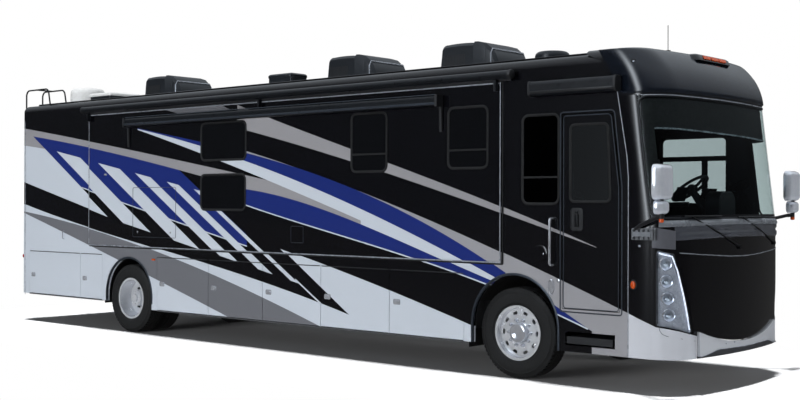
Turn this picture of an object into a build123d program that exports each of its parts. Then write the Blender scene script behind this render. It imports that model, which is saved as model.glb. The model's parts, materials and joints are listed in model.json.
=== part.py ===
from build123d import *
import math
import os

# Motorhome: a 12 m diesel coach with full wall slide rooms, in millimetres
# +X forward, +Y left, +Z up, ground at z = 0, origin under the middle of the whole vehicle

# Lengths along the vehicle, each from an axle
wheelbase = 7010
front_overhang = 2090
rear_overhang = 2990
overall_length = wheelbase + front_overhang + rear_overhang
front_axle_x = overall_length / 2 - front_overhang
rear_axle_x = front_axle_x - wheelbase

# Body shell
body_half_width = 1280
wall = 50
body_bottom_z = 367
rear_bottom_z = 445
rear_wall_offset = 2920
rear_seam_offset = 2840
rear_corner_radius = rear_wall_offset - rear_seam_offset
cove_z = 3400
cove_radius = 100
roof_edge_z = cove_z + cove_radius
roof_rise = 40
floor_top_z = 1285
floor_thickness = 80
floor_bottom_z = floor_top_z - floor_thickness

# Front cap: nose position at each height, measured from the front axle
nose_bow_radius = 6000
nose_corner_radius = 350
cap_edge_radius = 120
nose_table = (
    # height, nose
    (367, 2060),
    (1750, 2060),
    (3080, 1894),
    (3545, 1620),
)
cap_back = 600

# Headlamp outline on the nose: distance outside the body's side, and heights round it
lamp_reach = (10, -102, -305)
lamp_heights = (1478, 1430, 620, 716)

# Bumper middle: half widths, and heights of its top edge and its bottom
bumper_half = body_half_width - 375
bumper_heights = (590, 540, 492)
bumper_bottom_z = 340
bumper_middle_half = 500

# Seam round the cap, and the cap's back inside the body
cap_seam = (
    # from the front axle, height
    (1420, 0),
    (1420, 2170),
    (1290, 3170),
    (1130, 3400),
    (900, 3500),
    (880, 4000),
)

# Windscreen in side view, measured from the front axle
screen_side = (
    (1470, 3035),
    (1514, 2580),
    (1640, 1765),
    (1850, 1815),
    (2400, 1840),
    (2400, 3035),
)
glass_thickness = 8
pane_gap = 0.3

# Wheels and tyres, 275/80R22.5
tyre_radius = 505
tyre_width = 272
tread_half = 112
rim_radius = 286
rim_wall = 10
rim_inset = 8
rim_lip_width = 16
rim_lip = 18
front_wheel_y = 1088
dual_outer_y = 1112
dual_link_radius = 150
dual_spacing = 318
hub_radius = 108
spindle_radius = 42
bearing_gap = 0.3
stud_circle_radius = 142
hand_hole_length = 60
hand_hole_width = 35
disc_offset = 70
hand_hole_circle = 222
hand_hole_count = 10

# Wheel arches
front_arch_radius = 570
front_arch_z = 575
rear_arch_radius = 550
rear_arch_z = 550

# Steering
kingpin_y = 900
steer_arm = 200
tie_rod_z = 350
tie_rod_radius = 17
kingpin_radius = 24

# Chassis
rail_outer_y = 430
rail_width = 80
rail_height = 250
rail_bottom_z = 600
rail_thickness = 9
rail_front = 1750
rail_rear = 2780
member_width = 70
rear_members = (2500, 700, -700)
front_members = (-750, 500, 1500)
member_gap = 0.3
bay_back_y = 520

# Engine at the back, from the rear axle
engine_front = 1350
engine_back = 2450
engine_bottom_z = 450
engine_top_z = 1120

# Luggage bays and their doors
bay_front_offset = 694
bay_rear_offset = 674
bay_shares_right = (1138, 1159, 1088, 1108, 1149)
bay_shares_left = (1410, 1411, 1410, 1411)
tail_bays_right = ((670, 1250), (1250, 2690))
tail_bays_left = ((1250, 2690),)
bay_door_top_z = 1132
bay_door_bottom_z = 378
tail_door_bottom_z = 458
bay_door_thickness = 42
door_gap = 8
pivot_inset = 7
pivot_radius = 5
pivot_gap = 0.3
bay_plate = 15
sill_z = 370

# Slide rooms
slide_rear_offset = 990
slide_front_offset = 165
slide_bottom_z = 1270
slide_top_z = 3270
slide_proud = 30
slide_seal = 6
slide_overlap = 34
slide_shell = 36
slide_clearance = 10
slide_depth = 760
slide_travel = 720
runner_height = 20
runner_positions = (0.12, 0.37, 0.63, 0.88)
runner_width = 70

# Windows: from the front axle back to front, then bottom and top
window_radius = 55
slide_windows_right = (
    # back, front, bottom, top
    (-5310, -4380, 2512, 3030),
    (-5315, -4390, 1830, 2316),
    (-2436, -1853, 2310, 3025),
    (-909, -344, 2326, 3022),
)
slide_windows_left = (
    (-6900, -5960, 2512, 3030),
    (-4700, -3500, 2310, 3025),
    (-2436, -1500, 2310, 3025),
)
front_window = (108, 581, 1926, 2890)
driver_window = (400, 1270, 1926, 2740)

# Entry door
door_back = 630
door_front = 1320
door_bottom_z = 822
door_top_z = 2872
door_bend_z = 2100
door_swing_room = 120
door_top_front = 1228
door_window = (724, 1212, 1950, 2765)
door_window_top_front = 1180
step_slot = (667, 1270, 435, 580)
step_travel = 320
stair_front = 1310
stair_back = 640
stair_levels = ((1230, 800), (985, 1040))
stair_end_y = 740
stair_bottom_z = 600
stair_skin = 40

# Grab handle behind the entry door
handle_x = 505
handle_ends_z = (1277, 1773)
handle_stand = 62
handle_tube = 14

# Engine door in the rear wall
engine_door_half = 760
engine_door_bottom_z = 620
engine_door_top_z = 1120
louvre_count = 7
louvre_depth = 14

# Roof equipment: from the front axle, at the middle of each
roof_gap = 0.3
conditioner_length = 920
conditioner_width = 700
conditioner_top_z = 3920
conditioner_profile = (
    # share of the half length forward, share of the height; arcs from the second point on
    (-1.0, 0.0),
    (-0.92, 0.81),
    (-0.86, 0.93),
    (-0.72, 0.98),
    (-0.2, 1.0),
    (0.33, 0.96),
    (0.78, 0.72),
    (1.0, 0.1),
    (1.0, 0.0),
)
conditioner_positions = (-7465, -3385, -1385)

dome_place = (-9080, -600)
dome_radius = 270
dome_skirt = 90
dome_height = 250
lid_span = (-8600, -8020)
lid_sides = (-900, -320)
lid_top_z = 3640
vent_place = (-230, -200)
vent_radius = 205
vent_height = 180
small_vent_span = (-4550, -4080)
small_vent_sides = (-760, -460)
small_vent_top_z = 3680
mast_place = (1390, -400)

# Awnings on the right slide room and over the entry door, from the front axle
topper_span = (-8080, 8)
topper_z = 3345
topper_radius = 48
topper_brackets = (-7960, -4080, -210)
bracket_width = 30
bracket_bottom_z = 3170
patio_span = (-6975, -995)
patio_heights = (3050, 3166)
patio_depth = 110
door_awning_span = (264, 1328)
door_awning_heights = (3085, 3245)
door_awning_depth = 125

# Ladder
ladder_stay_z = 3250
ladder_tube = 12.5
ladder_rail_y = (-1170, -870)
ladder_foot_z = 1650
ladder_top_z = 3770
ladder_reach = 640
ladder_rungs = 7

# Driver's place
driver_y = 620
column_foot = (1400, 1700)
column_tilt = 33.7
column_length = 495
steering_wheel_radius = 215
rim_grip = 15

# Seats: place across, and the seat's back edge from the front axle
seat_places = ((driver_y, 640), (-driver_y - 20, 180))
seat_width = 500
seat_depth = 500
seat_heights = (1620, 1700, 2440)

# Tail lamps: distance inside the body's side, and heights
tail_lamp_inside = (120, 270)
tail_lamp_heights = (1180, 1560)
tail_lamp_depth = 28

# Mirrors
mirror_head_x = 1950
mirror_head_y = 1570
mirror_head_z = 2095
mirror_size = (100, 250, 450)

# Tow receiver: 50.8 mm socket, 15.9 mm pin
receiver_inner = 51.5
receiver_wall = 6.5
receiver_length = 300
receiver_z = 400
receiver_pin_radius = 8.25
receiver_pin_inset = 64


above_all_z = conditioner_top_z + 80


def block(x0, x1, y0, y1, z0, z1):
    size = (x1 - x0, y1 - y0, z1 - z0)
    return Pos((x0 + x1) / 2, (y0 + y1) / 2, (z0 + z1) / 2) * Box(*size)


def side_prism(points, y0, y1):
    wire = Wire.make_polygon([Vector(x, y0, z) for x, z in points], close=True)
    return extrude(Face(wire), amount=y1 - y0, dir=(0, 1, 0))


def cross_prism(points, x0, x1):
    wire = Wire.make_polygon([Vector(x0, y, z) for y, z in points], close=True)
    return extrude(Face(wire), amount=x1 - x0, dir=(1, 0, 0))


def rounded_window(x0, x1, z0, z1, radius, y0, y1):
    plane = Plane(origin=((x0 + x1) / 2, y1, (z0 + z1) / 2), x_dir=(1, 0, 0), z_dir=(0, -1, 0))
    return extrude(plane * RectangleRounded(x1 - x0, z1 - z0, radius), amount=y1 - y0)


def rod(start, end, radius):
    start, end = Vector(*start), Vector(*end)
    plane = Plane(origin=start, z_dir=end - start)
    return extrude(plane * Circle(radius), amount=(end - start).length)


def bent_tube(points, bend, radius):
    path = FilletPolyline(*points, radius=bend)
    plane = Plane(origin=path @ 0, z_dir=path % 0)
    return sweep(plane * Circle(radius), path=path)


def from_front(x):
    return front_axle_x + x


def from_rear(x):
    return rear_axle_x - x


def mirrored(shape):
    return mirror(shape, about=Plane.XZ)


def both_sides(shape):
    return shape + mirrored(shape)


def nose_outline(z, nose, inset):
    half = body_half_width - inset
    corner = nose_corner_radius - inset
    bow = nose_bow_radius - inset
    tip = from_front(nose) - inset
    centre_y = half - corner
    centre_x = tip - bow + math.sqrt((bow - corner) ** 2 - centre_y**2)
    turn = math.atan2(centre_y, centre_x - tip + bow)
    meet_x = tip - bow + bow * math.cos(turn)
    meet_y = bow * math.sin(turn)
    middle = (turn + math.pi / 2) / 2
    mid_x = centre_x + corner * math.cos(middle)
    mid_y = centre_y + corner * math.sin(middle)
    back = from_front(cap_back)
    return Wire(
        [
            Line((back, -half, z), (centre_x, -half, z)),
            ThreePointArc((centre_x, -half, z), (mid_x, -mid_y, z), (meet_x, -meet_y, z)),
            ThreePointArc((meet_x, -meet_y, z), (tip, 0, z), (meet_x, meet_y, z)),
            ThreePointArc((meet_x, meet_y, z), (mid_x, mid_y, z), (centre_x, half, z)),
            Line((centre_x, half, z), (back, half, z)),
            Line((back, half, z), (back, -half, z)),
        ]
    )


def nose_block(inset, low=None):
    rows = [list(row) for row in nose_table]
    rows[0][0] = rows[0][0] if low is None else low
    rows[-1][0] -= inset
    wires = [nose_outline(z, nose, inset) for z, nose in rows]
    solid = Solid.make_loft(wires, ruled=True)
    top = rows[-1][0]
    back = from_front(cap_back)
    rim = [e for e in solid.edges() if e.center().Z > top - 1 and e.center().X > back + 1]
    return solid.fillet(cap_edge_radius - inset, rim)


def body_block(inset, low):
    half = body_half_width - inset
    flat = half - (cove_radius - inset)
    rise = cove_radius - inset
    k = math.sqrt(0.5)
    y_mid = flat + rise * k
    z_mid = cove_z + rise * k
    edge = cove_z + rise
    x0 = from_rear(rear_wall_offset) + inset
    section = Wire(
        [
            Line((x0, -half, low), (x0, -half, cove_z)),
            ThreePointArc((x0, -half, cove_z), (x0, -y_mid, z_mid), (x0, -flat, edge)),
            ThreePointArc((x0, -flat, edge), (x0, 0, edge + roof_rise), (x0, flat, edge)),
            ThreePointArc((x0, flat, edge), (x0, y_mid, z_mid), (x0, half, cove_z)),
            Line((x0, half, cove_z), (x0, half, low)),
            Line((x0, half, low), (x0, -half, low)),
        ]
    )
    length = from_front(1500) - x0
    solid = extrude(Face(section), amount=length, dir=(1, 0, 0))
    rim = [e for e in solid.edges() if abs(e.center().X - x0) < 1 and e.center().Z > low + 1]
    return solid.fillet(rear_corner_radius - inset, rim)


def cap_region(offset=0.0):
    points = [(from_front(x) + offset, z) for x, z in cap_seam]
    far = from_front(front_overhang + 400)
    return side_prism(points + [(far, above_all_z), (far, 0)], -2 * body_half_width, 2 * body_half_width)


def screen_region(shrink=0.0):
    points = [(from_front(x) + (shrink if x < 2000 else 0), z) for x, z in screen_side]
    lowered = []
    for (x, z) in points:
        lowered.append((x, z + shrink if z < 2000 else z - shrink))
    return side_prism(lowered, -2 * body_half_width, 2 * body_half_width)


def lamp_region(side, grow=0.0):
    outer, upper, lower = (-body_half_width - reach for reach in lamp_reach)
    points = (
        (outer, lamp_heights[0] + grow),
        (upper + grow, lamp_heights[1] + grow),
        (lower + grow, lamp_heights[2] - grow),
        (outer, lamp_heights[3] - grow),
    )
    shape = cross_prism(points, from_front(1735 - grow), from_front(2400))
    return shape if side < 0 else mirrored(shape)


def bumper_region(grow=0.0):
    half, middle = bumper_half + grow, bumper_middle_half
    high, mid, low = (z + grow for z in bumper_heights)
    points = (
        (-half, bumper_bottom_z),
        (-half, high),
        (-middle, mid),
        (0, low),
        (middle, mid),
        (half, high),
        (half, bumper_bottom_z),
    )
    return cross_prism(points, from_front(1800), from_front(2400))


def roof_z(y):
    """Height of the crowned roof at a distance from the middle."""
    flat = body_half_width - cove_radius
    radius = (flat**2 + roof_rise**2) / (2 * roof_rise)
    return roof_edge_z + roof_rise - radius + math.sqrt(radius**2 - y**2)


def bay_edges(shares):
    start = from_front(-bay_front_offset)
    length = start - from_rear(-bay_rear_offset)
    edges = [start]
    for share in shares:
        edges.append(edges[-1] - length * share / sum(shares))
    return edges


def bay_list(shares, tail):
    """Back, front and bottom of each luggage bay, from the front of the vehicle."""
    edges = bay_edges(shares)
    rows = [(back, front, bay_door_bottom_z) for front, back in zip(edges, edges[1:])]
    rows += [(from_rear(back), from_rear(front), tail_door_bottom_z) for front, back in tail]
    return rows


def arch_cut(x, radius, z, y0, y1):
    low = rear_bottom_z - 200
    return rod((x, y0, z), (x, y1, z), radius) + block(x - radius, x + radius, y0, y1, low, z)


def wall_plate(side):
    y0, y1 = -body_half_width, wall - body_half_width
    plate = block(from_rear(rear_seam_offset), from_front(1500), y0, y1, body_bottom_z, cove_z)
    plate -= cap_region()
    cut0, cut1 = y0 - 50, y1 + 50
    plate -= block(from_rear(rear_seam_offset) - 10, rear_axle_x, cut0, cut1, 0, rear_bottom_z)
    plate -= arch_cut(front_axle_x, front_arch_radius, front_arch_z, cut0, cut1)
    plate -= arch_cut(rear_axle_x, rear_arch_radius, rear_arch_z, cut0, cut1)
    plate -= block(
        from_rear(slide_rear_offset) + slide_overlap,
        from_front(-slide_front_offset) - slide_overlap,
        cut0,
        cut1,
        floor_top_z,
        slide_top_z - slide_overlap,
    )
    shares = bay_shares_right if side < 0 else bay_shares_left
    tail = tail_bays_right if side < 0 else tail_bays_left
    edges = bay_edges(shares)
    plate -= block(edges[-1], edges[0], cut0, cut1, 0, bay_door_top_z + door_gap)
    plate -= block(
        from_rear(tail[-1][1]), from_rear(tail[0][0]), cut0, cut1, 0, bay_door_top_z + door_gap
    )
    return plate


def door_outline(grow):
    return (
        (from_front(door_back) - grow, door_bottom_z - grow),
        (from_front(door_front) + grow, door_bottom_z - grow),
        (from_front(door_front) + grow, door_bend_z + (door_swing_room if grow else 0)),
        (from_front(door_top_front) + grow, door_top_z + grow),
        (from_front(door_back) - grow, door_top_z + grow),
    )


def side_wall_right():
    y0, y1 = -body_half_width, wall - body_half_width
    plate = wall_plate(-1)
    plate -= side_prism(door_outline(door_gap), y0 - 50, y1 + 50)
    x0, x1, z0, z1 = step_slot
    plate -= block(from_front(x0), from_front(x1), y0 - 50, y1 + 50, z0, z1)
    x0, x1, z0, z1 = front_window
    plate -= rounded_window(from_front(x0), from_front(x1), z0, z1, window_radius, y0 - 50, y1 + 50)
    return plate


def side_wall_left():
    y0, y1 = -body_half_width, wall - body_half_width
    plate = wall_plate(1)
    x0, x1, z0, z1 = driver_window
    plate -= rounded_window(from_front(x0), from_front(x1), z0, z1, window_radius, y0 - 50, y1 + 50)
    return mirrored(plate)


def coach_glass():
    y0 = -body_half_width
    panes = []
    for side, (x0, x1, z0, z1) in ((-1, front_window), (1, driver_window)):
        g = pane_gap
        pane = rounded_window(
            from_front(x0) + g, from_front(x1) - g, z0 + g, z1 - g, window_radius, y0, y0 + glass_thickness
        )
        panes.append(pane if side < 0 else mirrored(pane))
    return Compound(panes)


def front_cap(outer, inner):
    cap = (outer - inner) & cap_region()
    cap -= screen_region()
    for side in (-1, 1):
        cap -= lamp_region(side)
    cap -= bumper_region()
    return cap


def windshield(outer, inner_glass):
    return (outer - inner_glass) & screen_region(pane_gap)


def headlamps(outer, inner):
    shell = outer - inner
    return Compound([shell & lamp_region(side, -pane_gap) for side in (-1, 1)])


def front_bumper(nose_outer, nose_inner):
    proud = front_overhang - nose_table[0][1]
    outer = nose_outer.moved(Location((proud, 0, 0)))
    return (outer - nose_inner) & bumper_region(-pane_gap)


def rear_cap(outer, inner):
    x1 = from_rear(rear_seam_offset)
    x0 = from_rear(rear_wall_offset)
    reach = body_half_width + 10
    cap = (outer - inner) & block(x0 - 10, x1, -reach, reach, rear_bottom_z, above_all_z)
    cut = block(
        x0 - 10,
        x0 + wall + 10,
        -engine_door_half - door_gap,
        engine_door_half + door_gap,
        engine_door_bottom_z - door_gap,
        engine_door_top_z + door_gap,
    )
    return cap - cut


def engine_door():
    x0 = from_rear(rear_wall_offset)
    half = engine_door_half
    door = block(x0, x0 + wall - 10, -half, half, engine_door_bottom_z, engine_door_top_z)
    pitch = (engine_door_top_z - engine_door_bottom_z - 120) / louvre_count
    for i in range(louvre_count):
        z = engine_door_bottom_z + 60 + (i + 0.5) * pitch
        door -= block(x0 - 5, x0 + louvre_depth, -half + 90, half - 90, z - pitch * 0.3, z + pitch * 0.2)
    pin_z = engine_door_top_z - pivot_inset
    pin_x = x0 + pivot_inset
    reach = half + door_gap - pivot_gap
    for y in (-reach, half - 1):
        door += rod((pin_x, y, pin_z), (pin_x, y + door_gap - pivot_gap + 1, pin_z), pivot_radius)
    return door


def roof(outer, inner):
    x0, x1 = from_rear(rear_seam_offset), from_front(1500)
    skin = (outer - inner) & block(x0, x1, -body_half_width - 10, body_half_width + 10, cove_z, above_all_z)
    return skin - cap_region()


def floor_panel():
    x0 = from_rear(rear_wall_offset) + wall
    half = body_half_width - wall
    main = block(x0, from_front(cap_back), -half, half, floor_bottom_z, floor_top_z)
    main = chamfer(main.edges().filter_by(Axis.Z).group_by(Axis.X)[0], rear_corner_radius / 2)
    outline = nose_outline(floor_bottom_z, nose_table[0][1], wall)
    slab = main + extrude(Face(outline), amount=floor_thickness, dir=(0, 0, 1))
    well_back = from_front(stair_back) + bay_plate
    well_front = from_front(stair_front) - bay_plate
    return slab - block(well_back, well_front, -half - 50, -stair_end_y, 0, floor_top_z + 50)


def stairwell():
    (y0, z0), (y1, z1) = stair_levels
    points = (
        (-y0, stair_bottom_z),
        (-y0, z0),
        (-y1, z0),
        (-y1, z1),
        (-stair_end_y, z1),
        (-stair_end_y, floor_bottom_z),
        (stair_skin - stair_end_y, floor_bottom_z),
        (stair_skin - stair_end_y, z1 - stair_skin),
        (stair_skin - y1, z1 - stair_skin),
        (stair_skin - y1, stair_bottom_z),
    )
    steps = cross_prism(points, from_front(stair_back), from_front(stair_front))
    for x in (stair_back, stair_front - bay_plate):
        steps += block(
            from_front(x),
            from_front(x) + bay_plate,
            -y0,
            stair_skin - stair_end_y,
            stair_bottom_z,
            floor_bottom_z,
        )
    return steps


def luggage_bays():
    wall_y = body_half_width - wall
    pieces = []
    for side, shares, tail in (
        (-1, bay_shares_right, tail_bays_right),
        (1, bay_shares_left, tail_bays_left),
    ):
        groups = [[], []]
        for back, front, bottom in bay_list(shares, tail):
            groups[0 if bottom == bay_door_bottom_z else 1].append((back, front, bottom))
        for rows in groups:
            bottom = rows[0][2] - door_gap
            x0 = min(row[0] for row in rows)
            x1 = max(row[1] for row in rows)
            box = block(x0, x1, -body_half_width, -bay_back_y, bottom - bay_plate, bottom)
            box += block(x0, x1, -bay_back_y - bay_plate, -bay_back_y, bottom, floor_bottom_z)
            cuts = sorted({round(row[0], 3) for row in rows} | {round(row[1], 3) for row in rows})
            for x in cuts:
                low = max(x - bay_plate, x0) if x > x0 else x
                low = min(low, x1 - bay_plate)
                box += block(low, low + bay_plate, -wall_y, -bay_back_y, bottom, floor_bottom_z)
            pieces.append(box if side < 0 else mirrored(box))
    return Compound(pieces)


def bay_door(side, back, front, bottom):
    x0, x1 = back + door_gap / 2, front - door_gap / 2
    y0 = -body_half_width
    door = block(x0, x1, y0, y0 + bay_door_thickness, bottom, bay_door_top_z)
    pin_x, pin_y = x1 - pivot_inset, y0 + pivot_inset
    top = bay_door_top_z + door_gap - pivot_gap
    door += rod((pin_x, pin_y, bay_door_top_z - 1), (pin_x, pin_y, top), pivot_radius)
    door += rod((pin_x, pin_y, bottom - door_gap + pivot_gap), (pin_x, pin_y, bottom + 1), pivot_radius)
    return door if side < 0 else mirrored(door)


def entry_door():
    y0 = -body_half_width
    door = side_prism(door_outline(0), y0, y0 + wall - 5)
    x0, x1, z0, z1 = door_window
    door -= rounded_window(from_front(x0), from_front(x1), z0, z1, window_radius, y0 - 50, y0 + 100)
    pin_x, pin_y = from_front(door_front) - pivot_inset, y0 + pivot_inset
    low = door_bottom_z - door_gap + pivot_gap
    door += rod((pin_x, pin_y, low), (pin_x, pin_y, door_bottom_z + 1), pivot_radius)
    return door


def entry_door_glass():
    y0 = -body_half_width
    g = pane_gap
    x0, x1, z0, z1 = door_window
    return rounded_window(
        from_front(x0) + g, from_front(x1) - g, z0 + g, z1 - g, window_radius, y0, y0 + glass_thickness
    )


def slide_windows(side):
    return slide_windows_right if side < 0 else slide_windows_left


def slide_room(side):
    x0, x1 = from_rear(slide_rear_offset), from_front(-slide_front_offset)
    face = -body_half_width - slide_proud
    back_of_flange = -body_half_width - slide_seal
    room = block(x0, x1, face, back_of_flange, slide_bottom_z, slide_top_z)
    inset = slide_overlap + slide_clearance
    bx0, bx1 = x0 + inset, x1 - inset
    bz0, bz1 = floor_top_z + runner_height, slide_top_z - inset
    inner_y = -body_half_width + slide_depth
    room += block(bx0, bx1, back_of_flange, inner_y, bz0, bz1)
    hollow = block(
        bx0 + slide_shell,
        bx1 - slide_shell,
        -body_half_width + wall - 10,
        inner_y + 10,
        bz0 + slide_shell,
        bz1 - slide_shell,
    )
    room -= hollow
    for share in runner_positions:
        x = bx0 + (bx1 - bx0) * share
        room += block(
            x - runner_width / 2,
            x + runner_width / 2,
            wall - body_half_width + 20,
            inner_y,
            floor_top_z + pivot_gap,
            bz0,
        )
    for wx0, wx1, z0, z1 in slide_windows(side):
        room -= rounded_window(
            from_front(wx0), from_front(wx1), z0, z1, window_radius, face - 10, wall - body_half_width + 10
        )
    return room if side < 0 else mirrored(room)


def slide_glass(side):
    y0 = -body_half_width - slide_proud
    g = pane_gap
    panes = []
    for x0, x1, z0, z1 in slide_windows(side):
        pane = rounded_window(
            from_front(x0) + g, from_front(x1) - g, z0 + g, z1 - g, window_radius, y0, y0 + glass_thickness
        )
        panes.append(pane if side < 0 else mirrored(pane))
    return Compound(panes)


def slide_awnings():
    face = -body_half_width - slide_proud
    out = topper_radius + 2
    x0, x1 = (from_front(x) for x in topper_span)
    topper = rod((x0, face - out, topper_z), (x1, face - out, topper_z), topper_radius)
    for x in topper_brackets:
        foot = from_front(x)
        topper += block(
            foot - bracket_width / 2,
            foot + bracket_width / 2,
            face - out - 10,
            face,
            bracket_bottom_z,
            topper_z,
        )
    x0, x1 = (from_front(x) for x in patio_span)
    case = block(x0, x1, face - patio_depth, face, *patio_heights)
    case = fillet(case.edges().filter_by(Axis.X), 30)
    return Compound([topper, case])


def door_awning():
    y = -body_half_width
    x0, x1 = (from_front(x) for x in door_awning_span)
    case = block(x0, x1, y - door_awning_depth, y, *door_awning_heights)
    case = fillet(case.edges().filter_by(Axis.X), 45)
    return case


def chassis_frame():
    x0, x1 = from_rear(rail_rear), from_front(rail_front)
    inner = rail_outer_y - rail_width
    z1 = rail_bottom_z + rail_height
    rail = block(x0, x1, -rail_outer_y, -inner, rail_bottom_z, z1)
    web = rail_thickness - rail_outer_y
    rail -= block(x0 - 1, x1 + 1, web, 1 - inner, rail_bottom_z + rail_thickness, z1 - rail_thickness)
    members = [rail, mirrored(rail)]
    stations = [from_rear(x) for x in rear_members] + [from_front(x) for x in front_members]
    span = stations[3] - stations[2]
    stations += [stations[2] + span * share for share in (0.25, 0.5, 0.75)]
    half = member_width / 2
    for x in stations:
        members.append(block(x - half, x + half, -bay_back_y, bay_back_y, z1 + member_gap, floor_bottom_z))
    return Compound(members)


def engine_block():
    half = rail_outer_y - rail_width
    return block(from_rear(engine_back), from_rear(engine_front), -half, half, engine_bottom_z, engine_top_z)


def beam_axle():
    z = tyre_radius
    beam = block(front_axle_x - 55, front_axle_x + 55, -kingpin_y, kingpin_y, z - 65, z + 45)
    for side in (-1, 1):
        y = side * kingpin_y
        beam += Pos(front_axle_x, y, z - 10) * Cylinder(52, 150)
        mid = side * (rail_outer_y - rail_width / 2)
        beam += Pos(front_axle_x, mid, (z + rail_bottom_z) / 2 + 20) * Cylinder(60, rail_bottom_z - z - 40)
        beam -= Pos(front_axle_x, y, z - 10) * Cylinder(kingpin_radius + bearing_gap, 200)
    return beam


def knuckle(side):
    z = tyre_radius - 10
    half = 75 + pivot_gap
    ear = 28
    reach = half + ear
    piece = block(
        front_axle_x - 50, front_axle_x + 50, -kingpin_y - 100, -kingpin_y - 62, z - reach, z + reach
    )
    for low in (z - half - ear, z + half):
        piece += Pos(front_axle_x, -kingpin_y, low + ear / 2) * Cylinder(48, ear)
        piece += block(front_axle_x - 48, front_axle_x + 48, -kingpin_y - 62, -kingpin_y, low, low + ear)
    piece += Pos(front_axle_x, -kingpin_y, z) * Cylinder(kingpin_radius, 2 * half + ear)
    spindle_end = -front_wheel_y - disc_offset + 2
    spindle_start = -kingpin_y - 90
    piece += rod(
        (front_axle_x, spindle_start, tyre_radius), (front_axle_x, spindle_end, tyre_radius), spindle_radius
    )
    arm_x = front_axle_x - steer_arm
    piece += block(arm_x, front_axle_x, -kingpin_y - 22, -kingpin_y + 22, z - half - ear, z - half)
    piece += Pos(arm_x, -kingpin_y, z - half - ear / 2) * Cylinder(28, ear)
    pin_top = z - reach
    piece += Pos(arm_x, -kingpin_y, (tie_rod_z + pin_top) / 2) * Cylinder(12, pin_top - tie_rod_z)
    return piece if side < 0 else mirrored(piece)


def tie_rod():
    x = front_axle_x - steer_arm
    y = kingpin_y
    piece = rod((x, -y + 20, tie_rod_z), (x, y - 20, tie_rod_z), tie_rod_radius)
    for side in (-1, 1):
        piece += Pos(x, side * y, tie_rod_z) * Cylinder(30, 2 * tie_rod_radius + 10)
        piece -= Pos(x, side * y, tie_rod_z) * Cylinder(12.3 if side < 0 else 13.5, 100)
    return piece


def rear_axle():
    z = tyre_radius
    inner = dual_outer_y - dual_spacing
    tube = rod((rear_axle_x, -inner + 60, z), (rear_axle_x, inner - 60, z), 75)
    tube += Pos(rear_axle_x, 0, z) * Sphere(185)
    tube += rod((rear_axle_x, -dual_outer_y - 30, z), (rear_axle_x, dual_outer_y + 30, z), spindle_radius)
    for side in (-1, 1):
        mid = side * (rail_outer_y - rail_width / 2)
        tube += Pos(rear_axle_x, mid, (z + rail_bottom_z) / 2 + 30) * Cylinder(60, rail_bottom_z - z - 60)
    tube += rod((rear_axle_x - 150, 0, z), (from_rear(engine_front), 0, z), 40)
    return tube


def turned(profile, x, y, z):
    """Solid of revolution about a wheel's axis from (offset along the axle, radius) pairs."""
    wire = Wire.make_polygon([Vector(x, y - t, z + r) for t, r in profile], close=True)
    return revolve(Face(wire), Axis((x, y, z), (0, 1, 0)), 360)


def rim_profile(disc_at, disc_thickness):
    """Closed half section of rim and disc: offsets are positive to the outside."""
    half = tyre_width / 2 - rim_inset
    lip = rim_radius + rim_lip
    inner = rim_radius - rim_wall
    return [
        (-half, lip),
        (-half, inner),
        (disc_at - disc_thickness, inner - 8),
        (disc_at - disc_thickness - 6, 150),
        (disc_at - disc_thickness - 6, spindle_radius + bearing_gap),
        (disc_at + 4, spindle_radius + bearing_gap),
        (disc_at + 4, 150),
        (disc_at, inner - 8),
        (half, inner),
        (half, lip),
        (half - rim_lip_width + 4, lip),
        (half - rim_lip_width, rim_radius),
        (rim_lip_width - half, rim_radius),
        (rim_lip_width - 4 - half, lip),
    ]


def front_wheel(side):
    disc_at = disc_offset
    rim = turned(rim_profile(disc_at, 22), front_axle_x, -front_wheel_y, tyre_radius)
    slot = Rot(0, 0, 90) * SlotOverall(hand_hole_length, hand_hole_width)
    holes = Sketch() + PolarLocations(hand_hole_circle, hand_hole_count) * slot
    face = Plane(origin=(front_axle_x, -front_wheel_y, tyre_radius), x_dir=(1, 0, 0), z_dir=(0, -1, 0))
    rim -= extrude(face * holes, amount=tyre_width)
    end = -front_wheel_y - disc_at - 60
    start = -front_wheel_y - disc_at
    cap = rod((front_axle_x, start, tyre_radius), (front_axle_x, end, tyre_radius), hub_radius)
    rim += cap
    return rim if side < 0 else mirrored(rim)


def tyre_ring(x, y):
    half = tyre_width / 2
    bead = half - rim_inset - rim_lip_width - pane_gap
    profile = [
        (-bead, rim_radius + pane_gap),
        (-half, rim_radius + 110),
        (-tread_half, tyre_radius),
        (tread_half, tyre_radius),
        (half, rim_radius + 110),
        (bead, rim_radius + pane_gap),
    ]
    return turned(profile, x, y, tyre_radius)


def front_tyre(side):
    ring = tyre_ring(front_axle_x, -front_wheel_y)
    return ring if side < 0 else mirrored(ring)


def rear_wheel(side):
    outer = turned(rim_profile(-disc_offset, 22), rear_axle_x, -dual_outer_y, tyre_radius)
    inner_y = -dual_outer_y + dual_spacing
    facing = [(-t, r) for t, r in rim_profile(-disc_offset, 22)]
    inner = turned(facing, rear_axle_x, inner_y, tyre_radius)
    hub_out = -dual_outer_y - 40
    hub_in = -dual_outer_y + 70
    hub = rod((rear_axle_x, hub_in, tyre_radius), (rear_axle_x, hub_out, tyre_radius), hub_radius + 10)
    bore_end = -dual_outer_y - 30 - 2
    bore = spindle_radius + bearing_gap
    hub -= rod((rear_axle_x, bore_end, tyre_radius), (rear_axle_x, 0, tyre_radius), bore)
    link = rod(
        (rear_axle_x, inner_y - 80, tyre_radius), (rear_axle_x, -dual_outer_y + 60, tyre_radius), dual_link_radius
    )
    link -= rod((rear_axle_x, -dual_outer_y, tyre_radius), (rear_axle_x, 0, tyre_radius), bore)
    wheel = outer + inner + hub + link
    return wheel if side < 0 else mirrored(wheel)


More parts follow.
